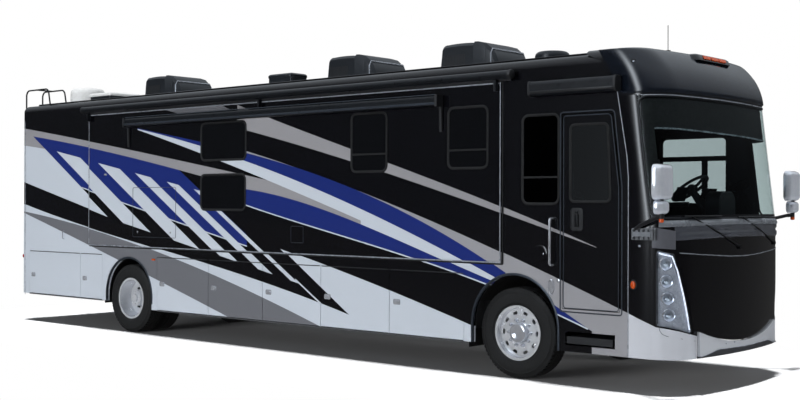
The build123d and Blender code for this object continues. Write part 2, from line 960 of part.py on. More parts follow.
def rear_tyre(side):
    rings = [tyre_ring(rear_axle_x, -dual_outer_y), tyre_ring(rear_axle_x, -dual_outer_y + dual_spacing)]
    return Compound([ring if side < 0 else mirrored(ring) for ring in rings])


def mirrors():
    x, y, z = from_front(mirror_head_x), -mirror_head_y, mirror_head_z
    depth, width, height = mirror_size
    head = block(x - depth / 2, x + depth / 2, y - width / 2, y + width / 2, z - height / 2, z + height / 2)
    head = fillet(head.edges().filter_by(Axis.X), 45)
    head = fillet(head.faces().sort_by(Axis.X)[-1].edges(), 30)
    arm = bent_tube(
        [(from_front(1640), -body_half_width - 24, 1600), (from_front(1700), -body_half_width - 90, 1610),
         (x - 20, y + 30, 1760), (x - 20, y, z - height / 2 + 10)],
        40,
        18,
    )
    foot = block(from_front(1560), from_front(1700), -body_half_width - 22, -body_half_width, 1565, 1640)
    return Compound([head + arm + foot, mirrored(head + arm + foot)])


def bow_x(y, z):
    """Front surface at a place across and up, on the bow."""
    rows = nose_table
    for (z0, n0), (z1, n1) in zip(rows, rows[1:]):
        if z <= z1:
            nose = n0 + (n1 - n0) * max(z - z0, 0) / (z1 - z0)
            break
    return from_front(nose) - nose_bow_radius + math.sqrt(nose_bow_radius**2 - y**2)


def wipers(nose_outer):
    pieces = []
    skin = nose_outer.moved(Location((pane_gap, 0, 0)))
    for y0, z0, y1, z1 in ((-90, 1480, -1000, 1800), (930, 1500, -20, 1790)):
        pivot = (bow_x(y0, z0) + 1, y0, z0)
        boss = rod((pivot[0] - 20, y0, z0), (pivot[0] + 26, y0, z0), 22) - skin
        y_mid, z_mid = (y0 + y1) / 2, (z0 + z1) / 2
        far = (bow_x(y1, z1) + 24, y1, z1)
        middle = (bow_x(y_mid, z_mid) + 20, y_mid, z_mid)
        near = (pivot[0] + 14, y0, z0)
        arm = rod(near, middle, 8) + rod(middle, far, 8) + Pos(*middle) * Sphere(10)
        side0, side1 = y1 - 120, y1 + 520
        blade = rod((bow_x(side0, z1) + 20, side0, z1 + 6), (bow_x(side1, z1) + 20, side1, z1 + 6), 9)
        pieces.append(boss + (arm + blade - skin))
    return Compound(pieces)


def roof_air_conditioners():
    pieces = []
    low = roof_edge_z + roof_rise + roof_gap
    rise = conditioner_top_z - low
    half, side = conditioner_length / 2, conditioner_width / 2
    for position in conditioner_positions:
        x = from_front(position)
        points = [Vector(x + half * along, -side, low + rise * up) for along, up in conditioner_profile]
        sides = [Line(points[0], points[1])]
        sides += [ThreePointArc(*points[i : i + 3]) for i in range(1, len(points) - 3, 2)]
        sides += [Line(points[-2], points[-1]), Line(points[-1], points[0])]
        shape = extrude(Face(Wire(sides)), amount=conditioner_width, dir=(0, 1, 0))
        rims = [
            edge
            for edge in shape.edges()
            if abs(abs(edge.center().Y) - side) < 1 and edge.center().Z > low + rise / 4
        ]
        pieces.append(chamfer(rims, rise / 10))
    return Compound(pieces)


def roof_fittings():
    pieces = []

    def seat(y):
        return roof_z(max(abs(y) - 1, 0)) + roof_gap

    upright = (Align.CENTER, Align.CENTER, Align.MIN)
    x, y = from_front(dome_place[0]), dome_place[1]
    low = seat(y + dome_radius)
    dome = Pos(x, y, low) * Cylinder(dome_radius, dome_skirt, align=upright)
    reach = dome_radius + 30
    cap = block(x - reach, x + reach, y - reach, y + reach, low + dome_skirt, low + dome_height)
    pieces.append(dome + (Pos(x, y, low + dome_skirt) * Sphere(dome_radius) & cap))
    for span, sides, top, corner in (
        (lid_span, lid_sides, lid_top_z, 60),
        (small_vent_span, small_vent_sides, small_vent_top_z, 30),
    ):
        lid = block(from_front(span[0]), from_front(span[1]), *sides, seat(sides[1]), top)
        pieces.append(fillet(lid.edges().filter_by(Axis.Z), corner))
    top = roof_edge_z + roof_rise + roof_gap
    spot = Pos(from_front(vent_place[0]), vent_place[1], top)
    vent = spot * Cylinder(vent_radius, vent_height, align=upright)
    pieces.append(fillet(vent.faces().sort_by(Axis.Z)[-1].edges(), 60))
    mast = Pos(from_front(mast_place[0]), mast_place[1], nose_table[-1][0] + roof_gap)
    whip = mast * Cylinder(4, 310, align=upright)
    pieces.append(mast * Cylinder(28, 40, align=upright) + whip)
    return Compound(pieces)


def ladder():
    x = from_rear(rear_overhang) + ladder_tube
    top = ladder_top_z
    rails = []
    for y in ladder_rail_y:
        foot = roof_z(y) + 6
        bend = x + ladder_reach
        path = [(x, y, ladder_foot_z), (x, y, top), (bend, y, top), (bend + 60, y, foot)]
        rails.append(bent_tube(path, 90, ladder_tube))
    shape = rails[0] + rails[1]
    pitch = (roof_edge_z - ladder_foot_z) / ladder_rungs
    for i in range(ladder_rungs):
        z = ladder_foot_z + 60 + i * pitch
        shape += rod((x, ladder_rail_y[0], z), (x, ladder_rail_y[1], z), ladder_tube - 1)
    shape += rod((x + 300, ladder_rail_y[0], top), (x + 300, ladder_rail_y[1], top), ladder_tube - 1)
    wall_x = from_rear(rear_wall_offset)
    for y in ladder_rail_y:
        for z in (ladder_foot_z + 100, ladder_stay_z):
            shape += rod((x, y, z), (wall_x, y, z), ladder_tube - 2)
    return shape


def grab_handle():
    y = -body_half_width
    x = from_front(handle_x)
    stand = y - handle_stand
    low, high = handle_ends_z
    return bent_tube([(x, y, high), (x, stand, high), (x, stand, low), (x, y, low)], 28, handle_tube)


def entry_step():
    x0, x1, z0, z1 = step_slot
    tread = block(from_front(x0) + 22, from_front(x1) - 22, -body_half_width - 6, -880, z0 + 20, z0 + 95)
    tread -= block(from_front(x0) + 42, from_front(x1) - 42, -body_half_width + 20, -900, z0 + 10, z0 + 75)
    carriage = block(from_front(x0) + 60, from_front(x1) - 60, -880, -600, z0 + 45, z0 + 95)
    carriage += block(
        from_front(stair_back), from_front(stair_front), -880, -820, z0 + 75, stair_bottom_z - pivot_gap
    )
    return tread + carriage


def column_axis():
    foot = Vector(from_front(column_foot[0]), driver_y, column_foot[1])
    tilt = math.radians(column_tilt)
    return foot, Vector(-math.sin(tilt), 0, math.cos(tilt))


def dashboard():
    points = (
        (1330, floor_top_z),
        (1600, floor_top_z),
        (1880, 1560),
        (1890, 1740),
        (1620, 1800),
        (1380, 1760),
        (1340, 1640),
    )
    panel = side_prism([(from_front(x), z) for x, z in points], -1000, 1000)
    foot, axis = column_axis()
    column = rod(foot, foot + axis * (column_length - 20), 32)
    return panel + column


def steering_wheel():
    foot, axis = column_axis()
    plane = Plane(origin=foot + axis * column_length, x_dir=(0, 1, 0), z_dir=axis)
    wheel = Cylinder(60, 40) + Box(2 * steering_wheel_radius, 34, 12) + Pos(0, -100, 0) * Box(34, 200, 12)
    sides = [math.pi * (i + 0.5) / 4 for i in range(8)]
    section = [(steering_wheel_radius + rim_grip * math.cos(a), rim_grip * math.sin(a)) for a in sides]
    wheel += revolve(Face(Wire.make_polygon([Vector(r, 0, h) for r, h in section], close=True)), Axis.Z, 360)
    return plane.location * wheel


def seats():
    pieces = []
    half = seat_width / 2
    low, mid, high = seat_heights
    for y, position in seat_places:
        x = from_front(position)
        seat = block(x, x + seat_depth, y - half, y + half, low, low + 120)
        back = block(x - 90, x + 40, y - half, y + half, mid, high)
        post = block(x + 130, x + 350, y - half / 2, y + half / 2, floor_top_z, low)
        pieces.append(fillet(seat.edges(), 40) + fillet(back.edges(), 45) + post)
    return Compound(pieces)


def tail_lamps():
    x = from_rear(rear_wall_offset)
    y0, y1 = (inside - body_half_width for inside in tail_lamp_inside)
    shape = block(x - tail_lamp_depth, x, y0, y1, *tail_lamp_heights)
    shape = fillet(shape.faces().sort_by(Axis.X)[0].edges(), 12)
    return Compound([shape, mirrored(shape)])


def tow_receiver():
    half = receiver_inner / 2
    outer = half + receiver_wall
    x0 = from_rear(rear_overhang) + 5
    tube = block(x0, x0 + receiver_length, -outer, outer, receiver_z - outer, receiver_z + outer)
    tube -= block(x0 - 1, x0 + receiver_length - 30, -half, half, receiver_z - half, receiver_z + half)
    pin_x = x0 + receiver_pin_inset
    tube -= rod((pin_x, -outer - 5, receiver_z), (pin_x, outer + 5, receiver_z), receiver_pin_radius)
    bar_x = x0 + receiver_length - 90
    inner = rail_outer_y - rail_width
    bar = block(bar_x, bar_x + 90, -inner, inner, receiver_z + outer, rail_bottom_z + 60)
    return tube + bar


def build():
    nose_outer = nose_block(0)
    nose_inner = nose_block(wall, low=0)
    nose_glass = nose_block(glass_thickness, low=0)
    body_outer = body_block(0, body_bottom_z)
    body_inner = body_block(wall, 0)
    parts = {
        "chassis_frame": chassis_frame(),
        "engine_block": engine_block(),
        "floor": floor_panel() + stairwell(),
        "luggage_bays": luggage_bays(),
        "side_wall_right": side_wall_right(),
        "side_wall_left": side_wall_left(),
        "roof": roof(body_outer, body_inner),
        "front_cap": front_cap(nose_outer, nose_inner),
        "rear_cap": rear_cap(body_outer, body_inner),
        "front_bumper": front_bumper(nose_outer, nose_inner),
        "windshield": windshield(nose_outer, nose_glass),
        "coach_glass": coach_glass(),
        "headlamps": headlamps(nose_outer, nose_inner),
        "tail_lamps": tail_lamps(),
        "mirrors": mirrors(),
        "wipers": wipers(nose_outer),
        "roof_air_conditioners": roof_air_conditioners(),
        "roof_fittings": roof_fittings(),
        "ladder": ladder(),
        "grab_handle": grab_handle(),
        "door_awning": door_awning(),
        "dashboard": dashboard(),
        "steering_wheel": steering_wheel(),
        "seats": seats(),
        "front_axle": beam_axle(),
        "rear_axle": rear_axle(),
        "tow_receiver": tow_receiver(),
        "entry_door": entry_door(),
        "entry_door_glass": entry_door_glass(),
        "entry_step": entry_step(),
        "engine_door": engine_door(),
        "slide_room_right": slide_room(-1),
        "slide_glass_right": slide_glass(-1),
        "slide_awnings": slide_awnings(),
        "slide_room_left": slide_room(1),
        "slide_glass_left": slide_glass(1),
        "tie_rod": tie_rod(),
    }
    for name, side in (("right", -1), ("left", 1)):
        parts[f"knuckle_{name}"] = knuckle(side)
        parts[f"front_wheel_{name}"] = front_wheel(side)
        parts[f"front_tyre_{name}"] = front_tyre(side)
        parts[f"rear_wheel_{name}"] = rear_wheel(side)
        parts[f"rear_tyre_{name}"] = rear_tyre(side)
    for name, side, shares, tail in (
        ("right", -1, bay_shares_right, tail_bays_right),
        ("left", 1, bay_shares_left, tail_bays_left),
    ):
        for number, (back, front, bottom) in enumerate(bay_list(shares, tail), 1):
            parts[f"bay_door_{name}_{number}"] = bay_door(side, back, front, bottom)
    return parts


os.makedirs("parts", exist_ok=True)
for part_name, shape in build().items():
    export_step(shape, f"parts/{part_name}.step")
    print(part_name)
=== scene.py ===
import math

import bmesh
import bpy
import numpy
from mathutils import Matrix, Vector
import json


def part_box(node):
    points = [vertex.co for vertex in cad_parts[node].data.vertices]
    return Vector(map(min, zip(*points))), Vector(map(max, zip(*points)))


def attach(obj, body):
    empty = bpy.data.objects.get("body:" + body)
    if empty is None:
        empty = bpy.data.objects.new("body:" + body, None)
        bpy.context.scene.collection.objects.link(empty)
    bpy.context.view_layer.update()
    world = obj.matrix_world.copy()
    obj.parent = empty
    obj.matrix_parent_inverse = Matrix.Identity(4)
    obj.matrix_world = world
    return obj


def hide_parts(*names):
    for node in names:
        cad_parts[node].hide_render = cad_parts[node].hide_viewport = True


# Diesel coach motorhome: paint, glass, lamps, wheels and fittings round the built frame
# Metres, +X forward, +Y to the coach's left, +Z up
print("Loading the frame")
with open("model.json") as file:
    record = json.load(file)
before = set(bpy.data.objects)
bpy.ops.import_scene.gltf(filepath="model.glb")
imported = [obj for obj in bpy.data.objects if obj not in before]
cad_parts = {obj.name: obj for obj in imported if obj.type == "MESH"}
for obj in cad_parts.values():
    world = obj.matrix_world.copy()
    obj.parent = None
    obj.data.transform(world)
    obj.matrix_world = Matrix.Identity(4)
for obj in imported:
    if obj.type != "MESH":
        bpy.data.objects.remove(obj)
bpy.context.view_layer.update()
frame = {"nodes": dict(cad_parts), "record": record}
cadNodes = frame["nodes"]
scene = bpy.context.scene


def centreOf(node):
    low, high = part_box(node)
    return (low + high) / 2


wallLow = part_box("side_wall_right")[0]
frontAxleX = centreOf("front_tyre_right").x
rearAxleX = centreOf("rear_tyre_right").x
sideY = -wallLow.y  # half of the body's width


def addObject(name, data):
    made = bpy.data.objects.new(name, data)
    scene.collection.objects.link(made)
    return made


def srgb(red, green, blue):
    values = []
    for value in (red, green, blue):
        share = value / 255
        values.append(share / 12.92 if share <= 0.04045 else ((share + 0.055) / 1.055) ** 2.4)
    return (*values, 1.0)


# Studio: a pale floor that fades to white, soft lamps and a white surround
studio = {
    "floorSize": 160.0,
    "floorColour": srgb(238, 239, 241),
    "fadeRoundHalf": (6.0, 1.3),
    "fadeStart": 0.6,
    "fadeEnd": 2.0,
    "surroundLight": 0.032,
    "glossTint": (0.86, 0.93, 1.0, 1.0),
    "streakAzimuth": -1.79,
    "streakHalf": 0.13,
    "streakLight": 7.0,
    "glossTop": 0.72,
    "glossHorizon": 0.045,
    "floorInGloss": 0.06,
}
lamps = {
    # name: place, aim, width and height, watts
    "sideSoftbox": ((-1.5, -19.0, 2.0), (-0.5, 0.0, 1.7), (9.0, 3.0), 1500),
    "frontSoftbox": ((19.0, 8.0, 2.6), (4.5, 0.0, 1.8), (7.0, 4.0), 700),
}
skylight = {"aim": (0.0, 0.04, -1.0), "strength": 3.9, "angle": 4.0}
cameraView = {
    "place": (11.5766, -11.9194, 1.9295),
    "heading": 41.12,
    "tilt": 0.16,
    "roll": 0.18,
    "lens": 53.409,
}


def addNode(tree, kind, **settings):
    node = tree.nodes.new(kind)
    for name, value in settings.items():
        setattr(node, name, value)
    return node


def mathNode(tree, operation, first, second=None, third=None):
    node = addNode(tree, "ShaderNodeMath", operation=operation)
    for socket, value in zip(node.inputs, (first, second, third)):
        if value is None:
            continue
        if isinstance(value, (int, float)):
            socket.default_value = value
        else:
            tree.links.new(value, socket)
    return node.outputs[0]


def mixColour(tree, share, first, second, blend="MIX"):
    node = addNode(tree, "ShaderNodeMix", data_type="RGBA", blend_type=blend)
    for socket, value in ((node.inputs[0], share), (node.inputs[6], first), (node.inputs[7], second)):
        if isinstance(value, (int, float, tuple)):
            socket.default_value = value
        else:
            tree.links.new(value, socket)
    return node.outputs[2]


def startMaterial(name, **sockets):
    material = bpy.data.materials.new(name)
    material.use_nodes = True
    tree = material.node_tree
    tree.nodes.clear()
    output = tree.nodes.new("ShaderNodeOutputMaterial")
    shader = tree.nodes.new("ShaderNodeBsdfPrincipled")
    tree.links.new(shader.outputs[0], output.inputs[0])
    for key, value in sockets.items():
        shader.inputs[key.replace("_", " ")].default_value = value
    return material, tree, shader


def objectPoint(tree):
    node = tree.nodes.get("place") or addNode(tree, "ShaderNodeTexCoord", name="place")
    return node.outputs["Object"]


def objectAxes(tree):
    node = tree.nodes.get("axes")
    if node is None:
        node = addNode(tree, "ShaderNodeSeparateXYZ", name="axes")
        tree.links.new(objectPoint(tree), node.inputs[0])
    return node.outputs[0], node.outputs[1], node.outputs[2]


def noise(tree, scale, detail=3.0, roughness=0.5, stretch=(1, 1, 1)):
    mapping = addNode(tree, "ShaderNodeMapping")
    mapping.inputs["Scale"].default_value = stretch
    tree.links.new(objectPoint(tree), mapping.inputs["Vector"])
    node = addNode(tree, "ShaderNodeTexNoise")
    node.inputs["Scale"].default_value = scale
    node.inputs["Detail"].default_value = detail
    node.inputs["Roughness"].default_value = roughness
    tree.links.new(mapping.outputs[0], node.inputs["Vector"])
    return node.outputs["Fac"]


def spread(tree, value, low, high, start=0.3, end=0.7):
    node = addNode(tree, "ShaderNodeMapRange")
    tree.links.new(value, node.inputs["Value"])
    for name, number in (("From Min", start), ("From Max", end), ("To Min", low), ("To Max", high)):
        node.inputs[name].default_value = number
    return node.outputs[0]


def addBump(tree, shader, height, distance, strength=1.0):
    node = addNode(tree, "ShaderNodeBump")
    node.inputs["Distance"].default_value = distance
    node.inputs["Strength"].default_value = strength
    tree.links.new(height, node.inputs["Height"])
    tree.links.new(node.outputs[0], shader.inputs["Normal"])


# Paint scheme of both sides: lines that cross the side, as height above distance along the coach
stripeLines = {
    "rearGreyTop": ((-5.98, 3.15), (-2.56, 2.64), (-0.19, 2.26)),
    "rearGreyBottom": ((-5.65, 3.0), (-3.24, 2.64), (-0.41, 2.11), (1.87, 1.62)),
    "rearGreyEnd": ((-6.0, 2.87), (-5.4, 2.8)),
    "rearSilverFront": ((-5.65, 3.0), (-3.55, 1.71)),
    "lowBlackTop": ((-6.0, 2.28), (-3.55, 1.71)),
    "blueBottom": ((-4.28, 2.16), (-1.86, 1.65), (-0.4, 1.35)),
    "slashTop": ((-4.97, 2.74), (-1.52, 2.12)),
    "slashBottom": ((-3.14, 1.62), (-0.98, 1.2), (0.59, 0.89)),
    "blueRight": ((-0.87, 1.79), (0.59, 0.89)),
    "swooshTop": (
        (-2.81, 3.02), (-0.43, 2.61), (1.08, 2.23), (1.86, 2.0), (2.59, 1.745), (3.28, 1.47), (3.84, 1.15),
    ),
    "swooshMiddle": (
        (-2.81, 3.01), (-0.45, 2.5), (0.55, 2.21), (1.58, 1.88), (2.59, 1.55), (3.28, 1.28), (3.8, 1.06),
    ),
    "swooshBottom": (
        (-2.81, 3.0), (-0.96, 2.49), (-0.01, 2.23), (0.98, 1.96), (1.87, 1.65), (3.02, 1.27), (3.75, 1.06),
    ),
    "thinTop": ((-0.41, 2.62), (2.01, 1.97), (3.36, 1.54), (5.687, 0.698)),
    "lowBlueTop": ((-0.41, 2.11), (1.73, 1.66), (2.59, 1.39), (3.02, 1.27), (3.75, 1.04)),
    "lowBlueBottom": ((-0.43, 1.9), (1.25, 1.545), (3.64, 1.01), (4.93, 0.61)),
    "lowBlueEnd": ((-0.77, 2.11), (-0.43, 1.9)),
    "wedgeTop": ((4.44, 0.87), (4.95, 0.6)),
    "panelGreyTop": ((0.02, 3.05), (2.1, 2.42), (3.78, 1.9), (5.0, 1.48)),
    "panelGreyBottom": ((-0.42, 2.9), (2.03, 2.31), (3.78, 1.83), (5.0, 1.475)),
    "lowBlackBottom": ((-6.0, 1.92), (-2.15, 1.23), (0.06, 0.85), (1.46, 0.55)),
    "lowGreyTop": ((-6.02, 1.79), (-2.15, 1.17), (0.96, 0.37)),
    "lowGreyBottom": ((-6.02, 1.78), (-3.26, 1.05), (-0.83, 0.38)),
    "frontSilverTop": ((0.25, 1.33), (2.15, 0.88), (3.45, 0.53)),
    "frontSilverBack": ((0.25, 1.33), (1.46, 0.55)),
    "upperSlantBack": ((-2.48, 3.33), (-1.85, 3.19)),
    "upperSlantFront": ((-1.1, 3.33), (-0.74, 3.19)),
}
slashes = {
    # start along the top line and width along the coach
    "bars": ((-4.97, 0.65), (-3.8, 0.55), (-2.87, 0.37), (-2.12, 0.27), (-1.52, 0.14)),
    "slope": -0.617,
    "reach": (-5.2, 0.8),
}
paintColours = {
    "black": srgb(6, 6, 10),
    "silver": srgb(190, 198, 208),
    "taupe": srgb(142, 142, 146),
    "darkGrey": srgb(104, 106, 112),
    "blue": srgb(25, 41, 110),
    "frontGrey": srgb(146, 147, 152),
    # silver paint on the nose, lightened by a painted highlight
    "noseSilverAndHighlight": srgb(194, 198, 206),
    # slate tone of the cap's crown: a painted sky reflection
    "slate": srgb(13, 18, 27),
    "pin": srgb(190, 198, 208),
}
stripeRegions = (
    # colour, lines it is under, lines it is over, from, to
    ("silver", ("lowBlackBottom",), (), -9.0, 1.46),
    ("darkGrey", ("lowGreyTop",), ("lowGreyBottom",), -9.0, 1.0),
    ("silver", ("frontSilverTop",), ("frontSilverBack",), 0.25, 1.46),
    ("silver", ("frontSilverTop",), (), 1.46, 4.2),
    ("taupe", ("rearGreyTop", "swooshBottom"), ("rearGreyBottom",), -9.0, 1.9),
    ("taupe", ("rearGreyTop",), ("rearGreyEnd",), -9.0, -5.2),
    ("silver", ("rearGreyEnd", "rearSilverFront"), ("lowBlackTop",), -9.0, -3.4),
    ("blue", ("rearGreyBottom", "blueRight"), ("rearSilverFront", "blueBottom"), -5.65, -0.4),
    ("frontGrey", ("thinTop",), ("swooshTop",), -0.43, 3.84),
    ("frontGrey", ("thinTop",), (), 3.84, 5.378),
    # the band on the nose: silver paint with a painted highlight
    ("noseSilverAndHighlight", ("thinTop",), (), 5.378, 9.0),
    ("blue", ("wedgeTop",), (), 4.4, 4.95),
    ("black", ("lowBlueBottom",), (), 3.65, 4.95),
    ("blue", ("swooshTop",), ("swooshMiddle",), -2.81, 3.84),
    ("silver", ("swooshMiddle",), ("swooshBottom",), -2.81, 3.75),
    ("silver", ("swooshMiddle",), ("lowBlueTop",), 1.68, 3.75),
    ("blue", ("lowBlueTop",), ("lowBlueBottom", "lowBlueEnd"), -1.0, 3.75),
    ("taupe", ("panelGreyTop",), ("panelGreyBottom",), -0.6, 5.0),
)
pinLines = (
    # line that it lies on, half of its thickness, from, to
    ("blueBottom", 0.008, -4.28, -0.4),
    ("lowBlueBottom", 0.008, -0.43, 4.9),
    ("blueRight", 0.012, 0.5, 0.99),
)
upperSlant = (3.19, 3.33)  # heights between which the grey slant over the windows lies
# the cap above this height and ahead of this point takes the painted sky reflection
crownPaint = {"z": 3.06, "x": 5.25}
noseLine = {"sideDrop": 0.312, "bow": -0.117, "lowest": 0.698}


def crossingLine(tree, along, points):
    degree = min(len(points) - 1, 3)
    shares = numpy.polyfit([x for x, z in points], [z for x, z in points], degree)
    height = mathNode(tree, "MULTIPLY_ADD", along, float(shares[0]), float(shares[1]))
    for share in shares[2:]:
        height = mathNode(tree, "MULTIPLY_ADD", height, along, float(share))
    return height


def stripeColour(tree):
    # Layers of paint from the ground coat up, each masked by the lines round it, with a painted sky
    # reflection over the cap's crown
    along, across, up = objectAxes(tree)
    above = {}
    for name, points in stripeLines.items():
        line = crossingLine(tree, along, points)
        if name == "thinTop":
            # on the nose the line runs level, then dips to the middle of the bumper
            line = mathNode(tree, "MAXIMUM", line, noseLine["lowest"])
            inward = mathNode(tree, "SUBTRACT", sideY, mathNode(tree, "ABSOLUTE", across))
            inward = mathNode(tree, "MAXIMUM", inward, 0.0)
            drop = mathNode(tree, "MULTIPLY_ADD", inward, noseLine["bow"], noseLine["sideDrop"])
            line = mathNode(tree, "SUBTRACT", line, mathNode(tree, "MULTIPLY", drop, inward))
        above[name] = mathNode(tree, "SUBTRACT", up, line)
    masks = {}

    def sideOf(name, over):
        if (name, over) not in masks:
            operation = "GREATER_THAN" if over else "LESS_THAN"
            masks[name, over] = mathNode(tree, operation, above[name], 0.0)
        return masks[name, over]

    def within(start, end):
        if (start, end) not in masks:
            middle, reach = (start + end) / 2, (end - start) / 2
            masks[start, end] = mathNode(tree, "COMPARE", along, middle, reach)
        return masks[start, end]

    def allOf(*shares):
        mask = shares[0]
        for share in shares[1:]:
            mask = mathNode(tree, "MULTIPLY", mask, share)
        return mask

    colour = paintColours["black"]
    for name, under, over, start, end in stripeRegions:
        sides = [sideOf(line, False) for line in under] + [sideOf(line, True) for line in over]
        colour = mixColour(tree, allOf(within(start, end), *sides), colour, paintColours[name])

    topX, topZ = stripeLines["slashTop"][0]
    nextX, nextZ = stripeLines["slashTop"][1]
    topSlope = (nextZ - topZ) / (nextX - topX)
    # distance along the coach at which a line of the slashes' slope through this point meets the top line
    lean = mathNode(tree, "MULTIPLY_ADD", along, -slashes["slope"], topSlope * topX - topZ)
    start = mathNode(tree, "DIVIDE", mathNode(tree, "ADD", up, lean), topSlope - slashes["slope"])
    mask = 0.0
    for first, width in slashes["bars"]:
        bar = mathNode(tree, "COMPARE", start, first + width / 2, width / 2)
        mask = mathNode(tree, "MAXIMUM", bar, mask)
    mask = allOf(mask, sideOf("slashTop", False), sideOf("slashBottom", True), within(*slashes["reach"]))
    colour = mixColour(tree, mask, colour, paintColours["silver"])

    low, high = upperSlant
    level = mathNode(tree, "COMPARE", up, (low + high) / 2, (high - low) / 2)
    mask = allOf(sideOf("upperSlantBack", True), sideOf("upperSlantFront", False), level)
    colour = mixColour(tree, mask, colour, paintColours["darkGrey"])

    # Painted sky reflection: slate tone over the cap's crown
    mask = allOf(mathNode(tree, "GREATER_THAN", up, crownPaint["z"]), within(crownPaint["x"], 9.0))
    colour = mixColour(tree, mask, colour, paintColours["slate"])

    for name, reach, start, end in pinLines:
        mask = allOf(mathNode(tree, "COMPARE", above[name], 0.0, reach), within(start, end))
        colour = mixColour(tree, mask, colour, paintColours["pin"])
    return colour


def paintFinish(tree, shader, colour):
    # Clear coat over base: faint flake, orange peel and a little road film low down
    up = objectAxes(tree)[2]
    flake = spread(tree, noise(tree, 900, 1.0), 0.95, 1.04)
    shaded = mixColour(tree, 1.0, colour, flake, "MULTIPLY")
    film = mathNode(tree, "MULTIPLY", spread(tree, up, 0.014, 0.0, 0.35, 1.1), noise(tree, 2.0, 5.0, 0.6))
    shaded = mixColour(tree, film, shaded, srgb(120, 118, 114))
    tree.links.new(shaded, shader.inputs["Base Color"])
    tree.links.new(spread(tree, noise(tree, 1.2, 3.0), 0.2, 0.24), shader.inputs["Roughness"])
    addBump(tree, shader, noise(tree, 160, 2.0), 0.00025, 0.35)


clearCoat = {"Coat_Weight": 0.9, "Coat_Roughness": 0.04, "Specular_IOR_Level": 0.2}


def makeCoachPaint():
    material, tree, shader = startMaterial("coachPaint", **clearCoat)
    paintFinish(tree, shader, stripeColour(tree))
    return material


def makePlainPaint(name, colour, metallic):
    material, tree, shader = startMaterial(name, Metallic=metallic, **clearCoat)
    base = mixColour(tree, spread(tree, noise(tree, 40, 2.0), 0.0, 1.0), colour, colour)
    paintFinish(tree, shader, base)
    return material


finishes = {
    # name: colour, second colour, metallic, roughness low and high, grain size, bump in metres
    "roofMembrane": ((226, 228, 229), (204, 206, 205), 0.0, (0.5, 0.7), 14, 0.0006),
    "chassisBlack": ((26, 27, 29), (48, 46, 44), 0.0, (0.45, 0.7), 22, 0.0008),
    "engineGrey": ((78, 81, 84), (104, 100, 94), 0.3, (0.4, 0.6), 30, 0.001),
    "floorVinyl": ((120, 104, 88), (92, 78, 64), 0.0, (0.35, 0.5), 9, 0.0004),
    "bayLiner": ((58, 60, 63), (76, 78, 80), 0.0, (0.6, 0.8), 60, 0.0008),
    "texturedPlastic": ((24, 25, 27), (34, 35, 38), 0.0, (0.4, 0.55), 420, 0.0004),
    "roofPlastic": ((15, 19, 24), (21, 25, 31), 0.0, (0.28, 0.42), 260, 0.0004),
    # grey of the nose corners under the windscreen: a painted reflection
    "cornerReflectionGrey": ((84, 86, 93), (76, 78, 85), 0.0, (0.3, 0.4), 60, 0.0002),
    "whitePlastic": ((232, 234, 235), (214, 216, 216), 0.0, (0.35, 0.5), 180, 0.0003),
    "rubber": ((14, 14, 15), (24, 24, 25), 0.0, (0.55, 0.75), 90, 0.0004),
    "awningCase": ((14, 16, 20), (22, 25, 30), 0.2, (0.25, 0.38), 120, 0.0002),
    "awningCloth": ((26, 27, 30), (38, 39, 42), 0.0, (0.8, 0.95), 300, 0.0008),
    "chrome": ((226, 230, 238), (210, 214, 222), 0.72, (0.05, 0.12), 20, 0.0001),
    "alloy": ((232, 235, 240), (208, 212, 218), 0.5, (0.18, 0.3), 70, 0.0001),
    "steel": ((150, 153, 158), (120, 122, 126), 0.8, (0.35, 0.5), 60, 0.0003),
    "dashPlastic": ((34, 35, 38), (44, 45, 48), 0.0, (0.5, 0.65), 300, 0.0005),
    "shellChrome": ((236, 241, 250), (214, 221, 232), 0.55, (0.06, 0.12), 20, 0.0001),
    "tyreRubber": ((13, 13, 14), (25, 25, 25), 0.0, (0.55, 0.8), 40, 0.0006),
    "seatLeather": ((74, 72, 72), (58, 56, 57), 0.0, (0.4, 0.6), 140, 0.0006),
    "trimSilver": ((172, 178, 188), (150, 156, 166), 0.5, (0.22, 0.34), 60, 0.0001),
    "trimDark": ((70, 76, 86), (52, 58, 66), 0.6, (0.25, 0.35), 60, 0.0001),
    # light grey of the cowl shelf: a painted reflection
    "shelfHighlightGrey": ((118, 123, 130), (110, 115, 122), 0.3, (0.22, 0.3), 40, 0.00005),
    "valanceGrey": ((66, 68, 72), (56, 58, 62), 0.2, (0.3, 0.42), 60, 0.0002),
    "lampTray": ((206, 209, 214), (150, 154, 160), 0.3, (0.2, 0.34), 120, 0.0006),
    "mirrorFace": ((232, 234, 236), (226, 228, 230), 1.0, (0.02, 0.05), 10, 0.00002),
    "ceilingCloth": ((40, 38, 40), (30, 29, 31), 0.0, (0.7, 0.9), 300, 0.0006),
    "blackMetal": ((16, 17, 19), (26, 27, 30), 0.4, (0.25, 0.4), 80, 0.0001),
    "nutSteel": ((70, 72, 75), (52, 53, 56), 0.9, (0.3, 0.45), 80, 0.0002),
}


def makeFinish(name):
    first, second, metallic, (smooth, rough), grain, height = finishes[name]
    material, tree, shader = startMaterial(name, Metallic=metallic)
    broad = noise(tree, grain * 0.12, 4.0, 0.6)
    fine = noise(tree, grain, 3.0, 0.6)
    share = mathNode(tree, "MULTIPLY_ADD", fine, 0.35, mathNode(tree, "MULTIPLY", broad, 0.65))
    base = mixColour(tree, spread(tree, share, 0.0, 1.0), srgb(*first), srgb(*second))
    tree.links.new(base, shader.inputs["Base Color"])
    tree.links.new(spread(tree, share, smooth, rough), shader.inputs["Roughness"])
    addBump(tree, shader, fine, height, 0.6)
    return material


def makeGlass(name, tint, clear):
    # Darkened panes reflect and let a share of the light through
    material, tree, shader = startMaterial(name, Base_Color=tint, IOR=1.45, Transmission_Weight=clear)
    tree.links.new(spread(tree, noise(tree, 1.5, 3.0), 0.0, 0.02), shader.inputs["Roughness"])
    return material


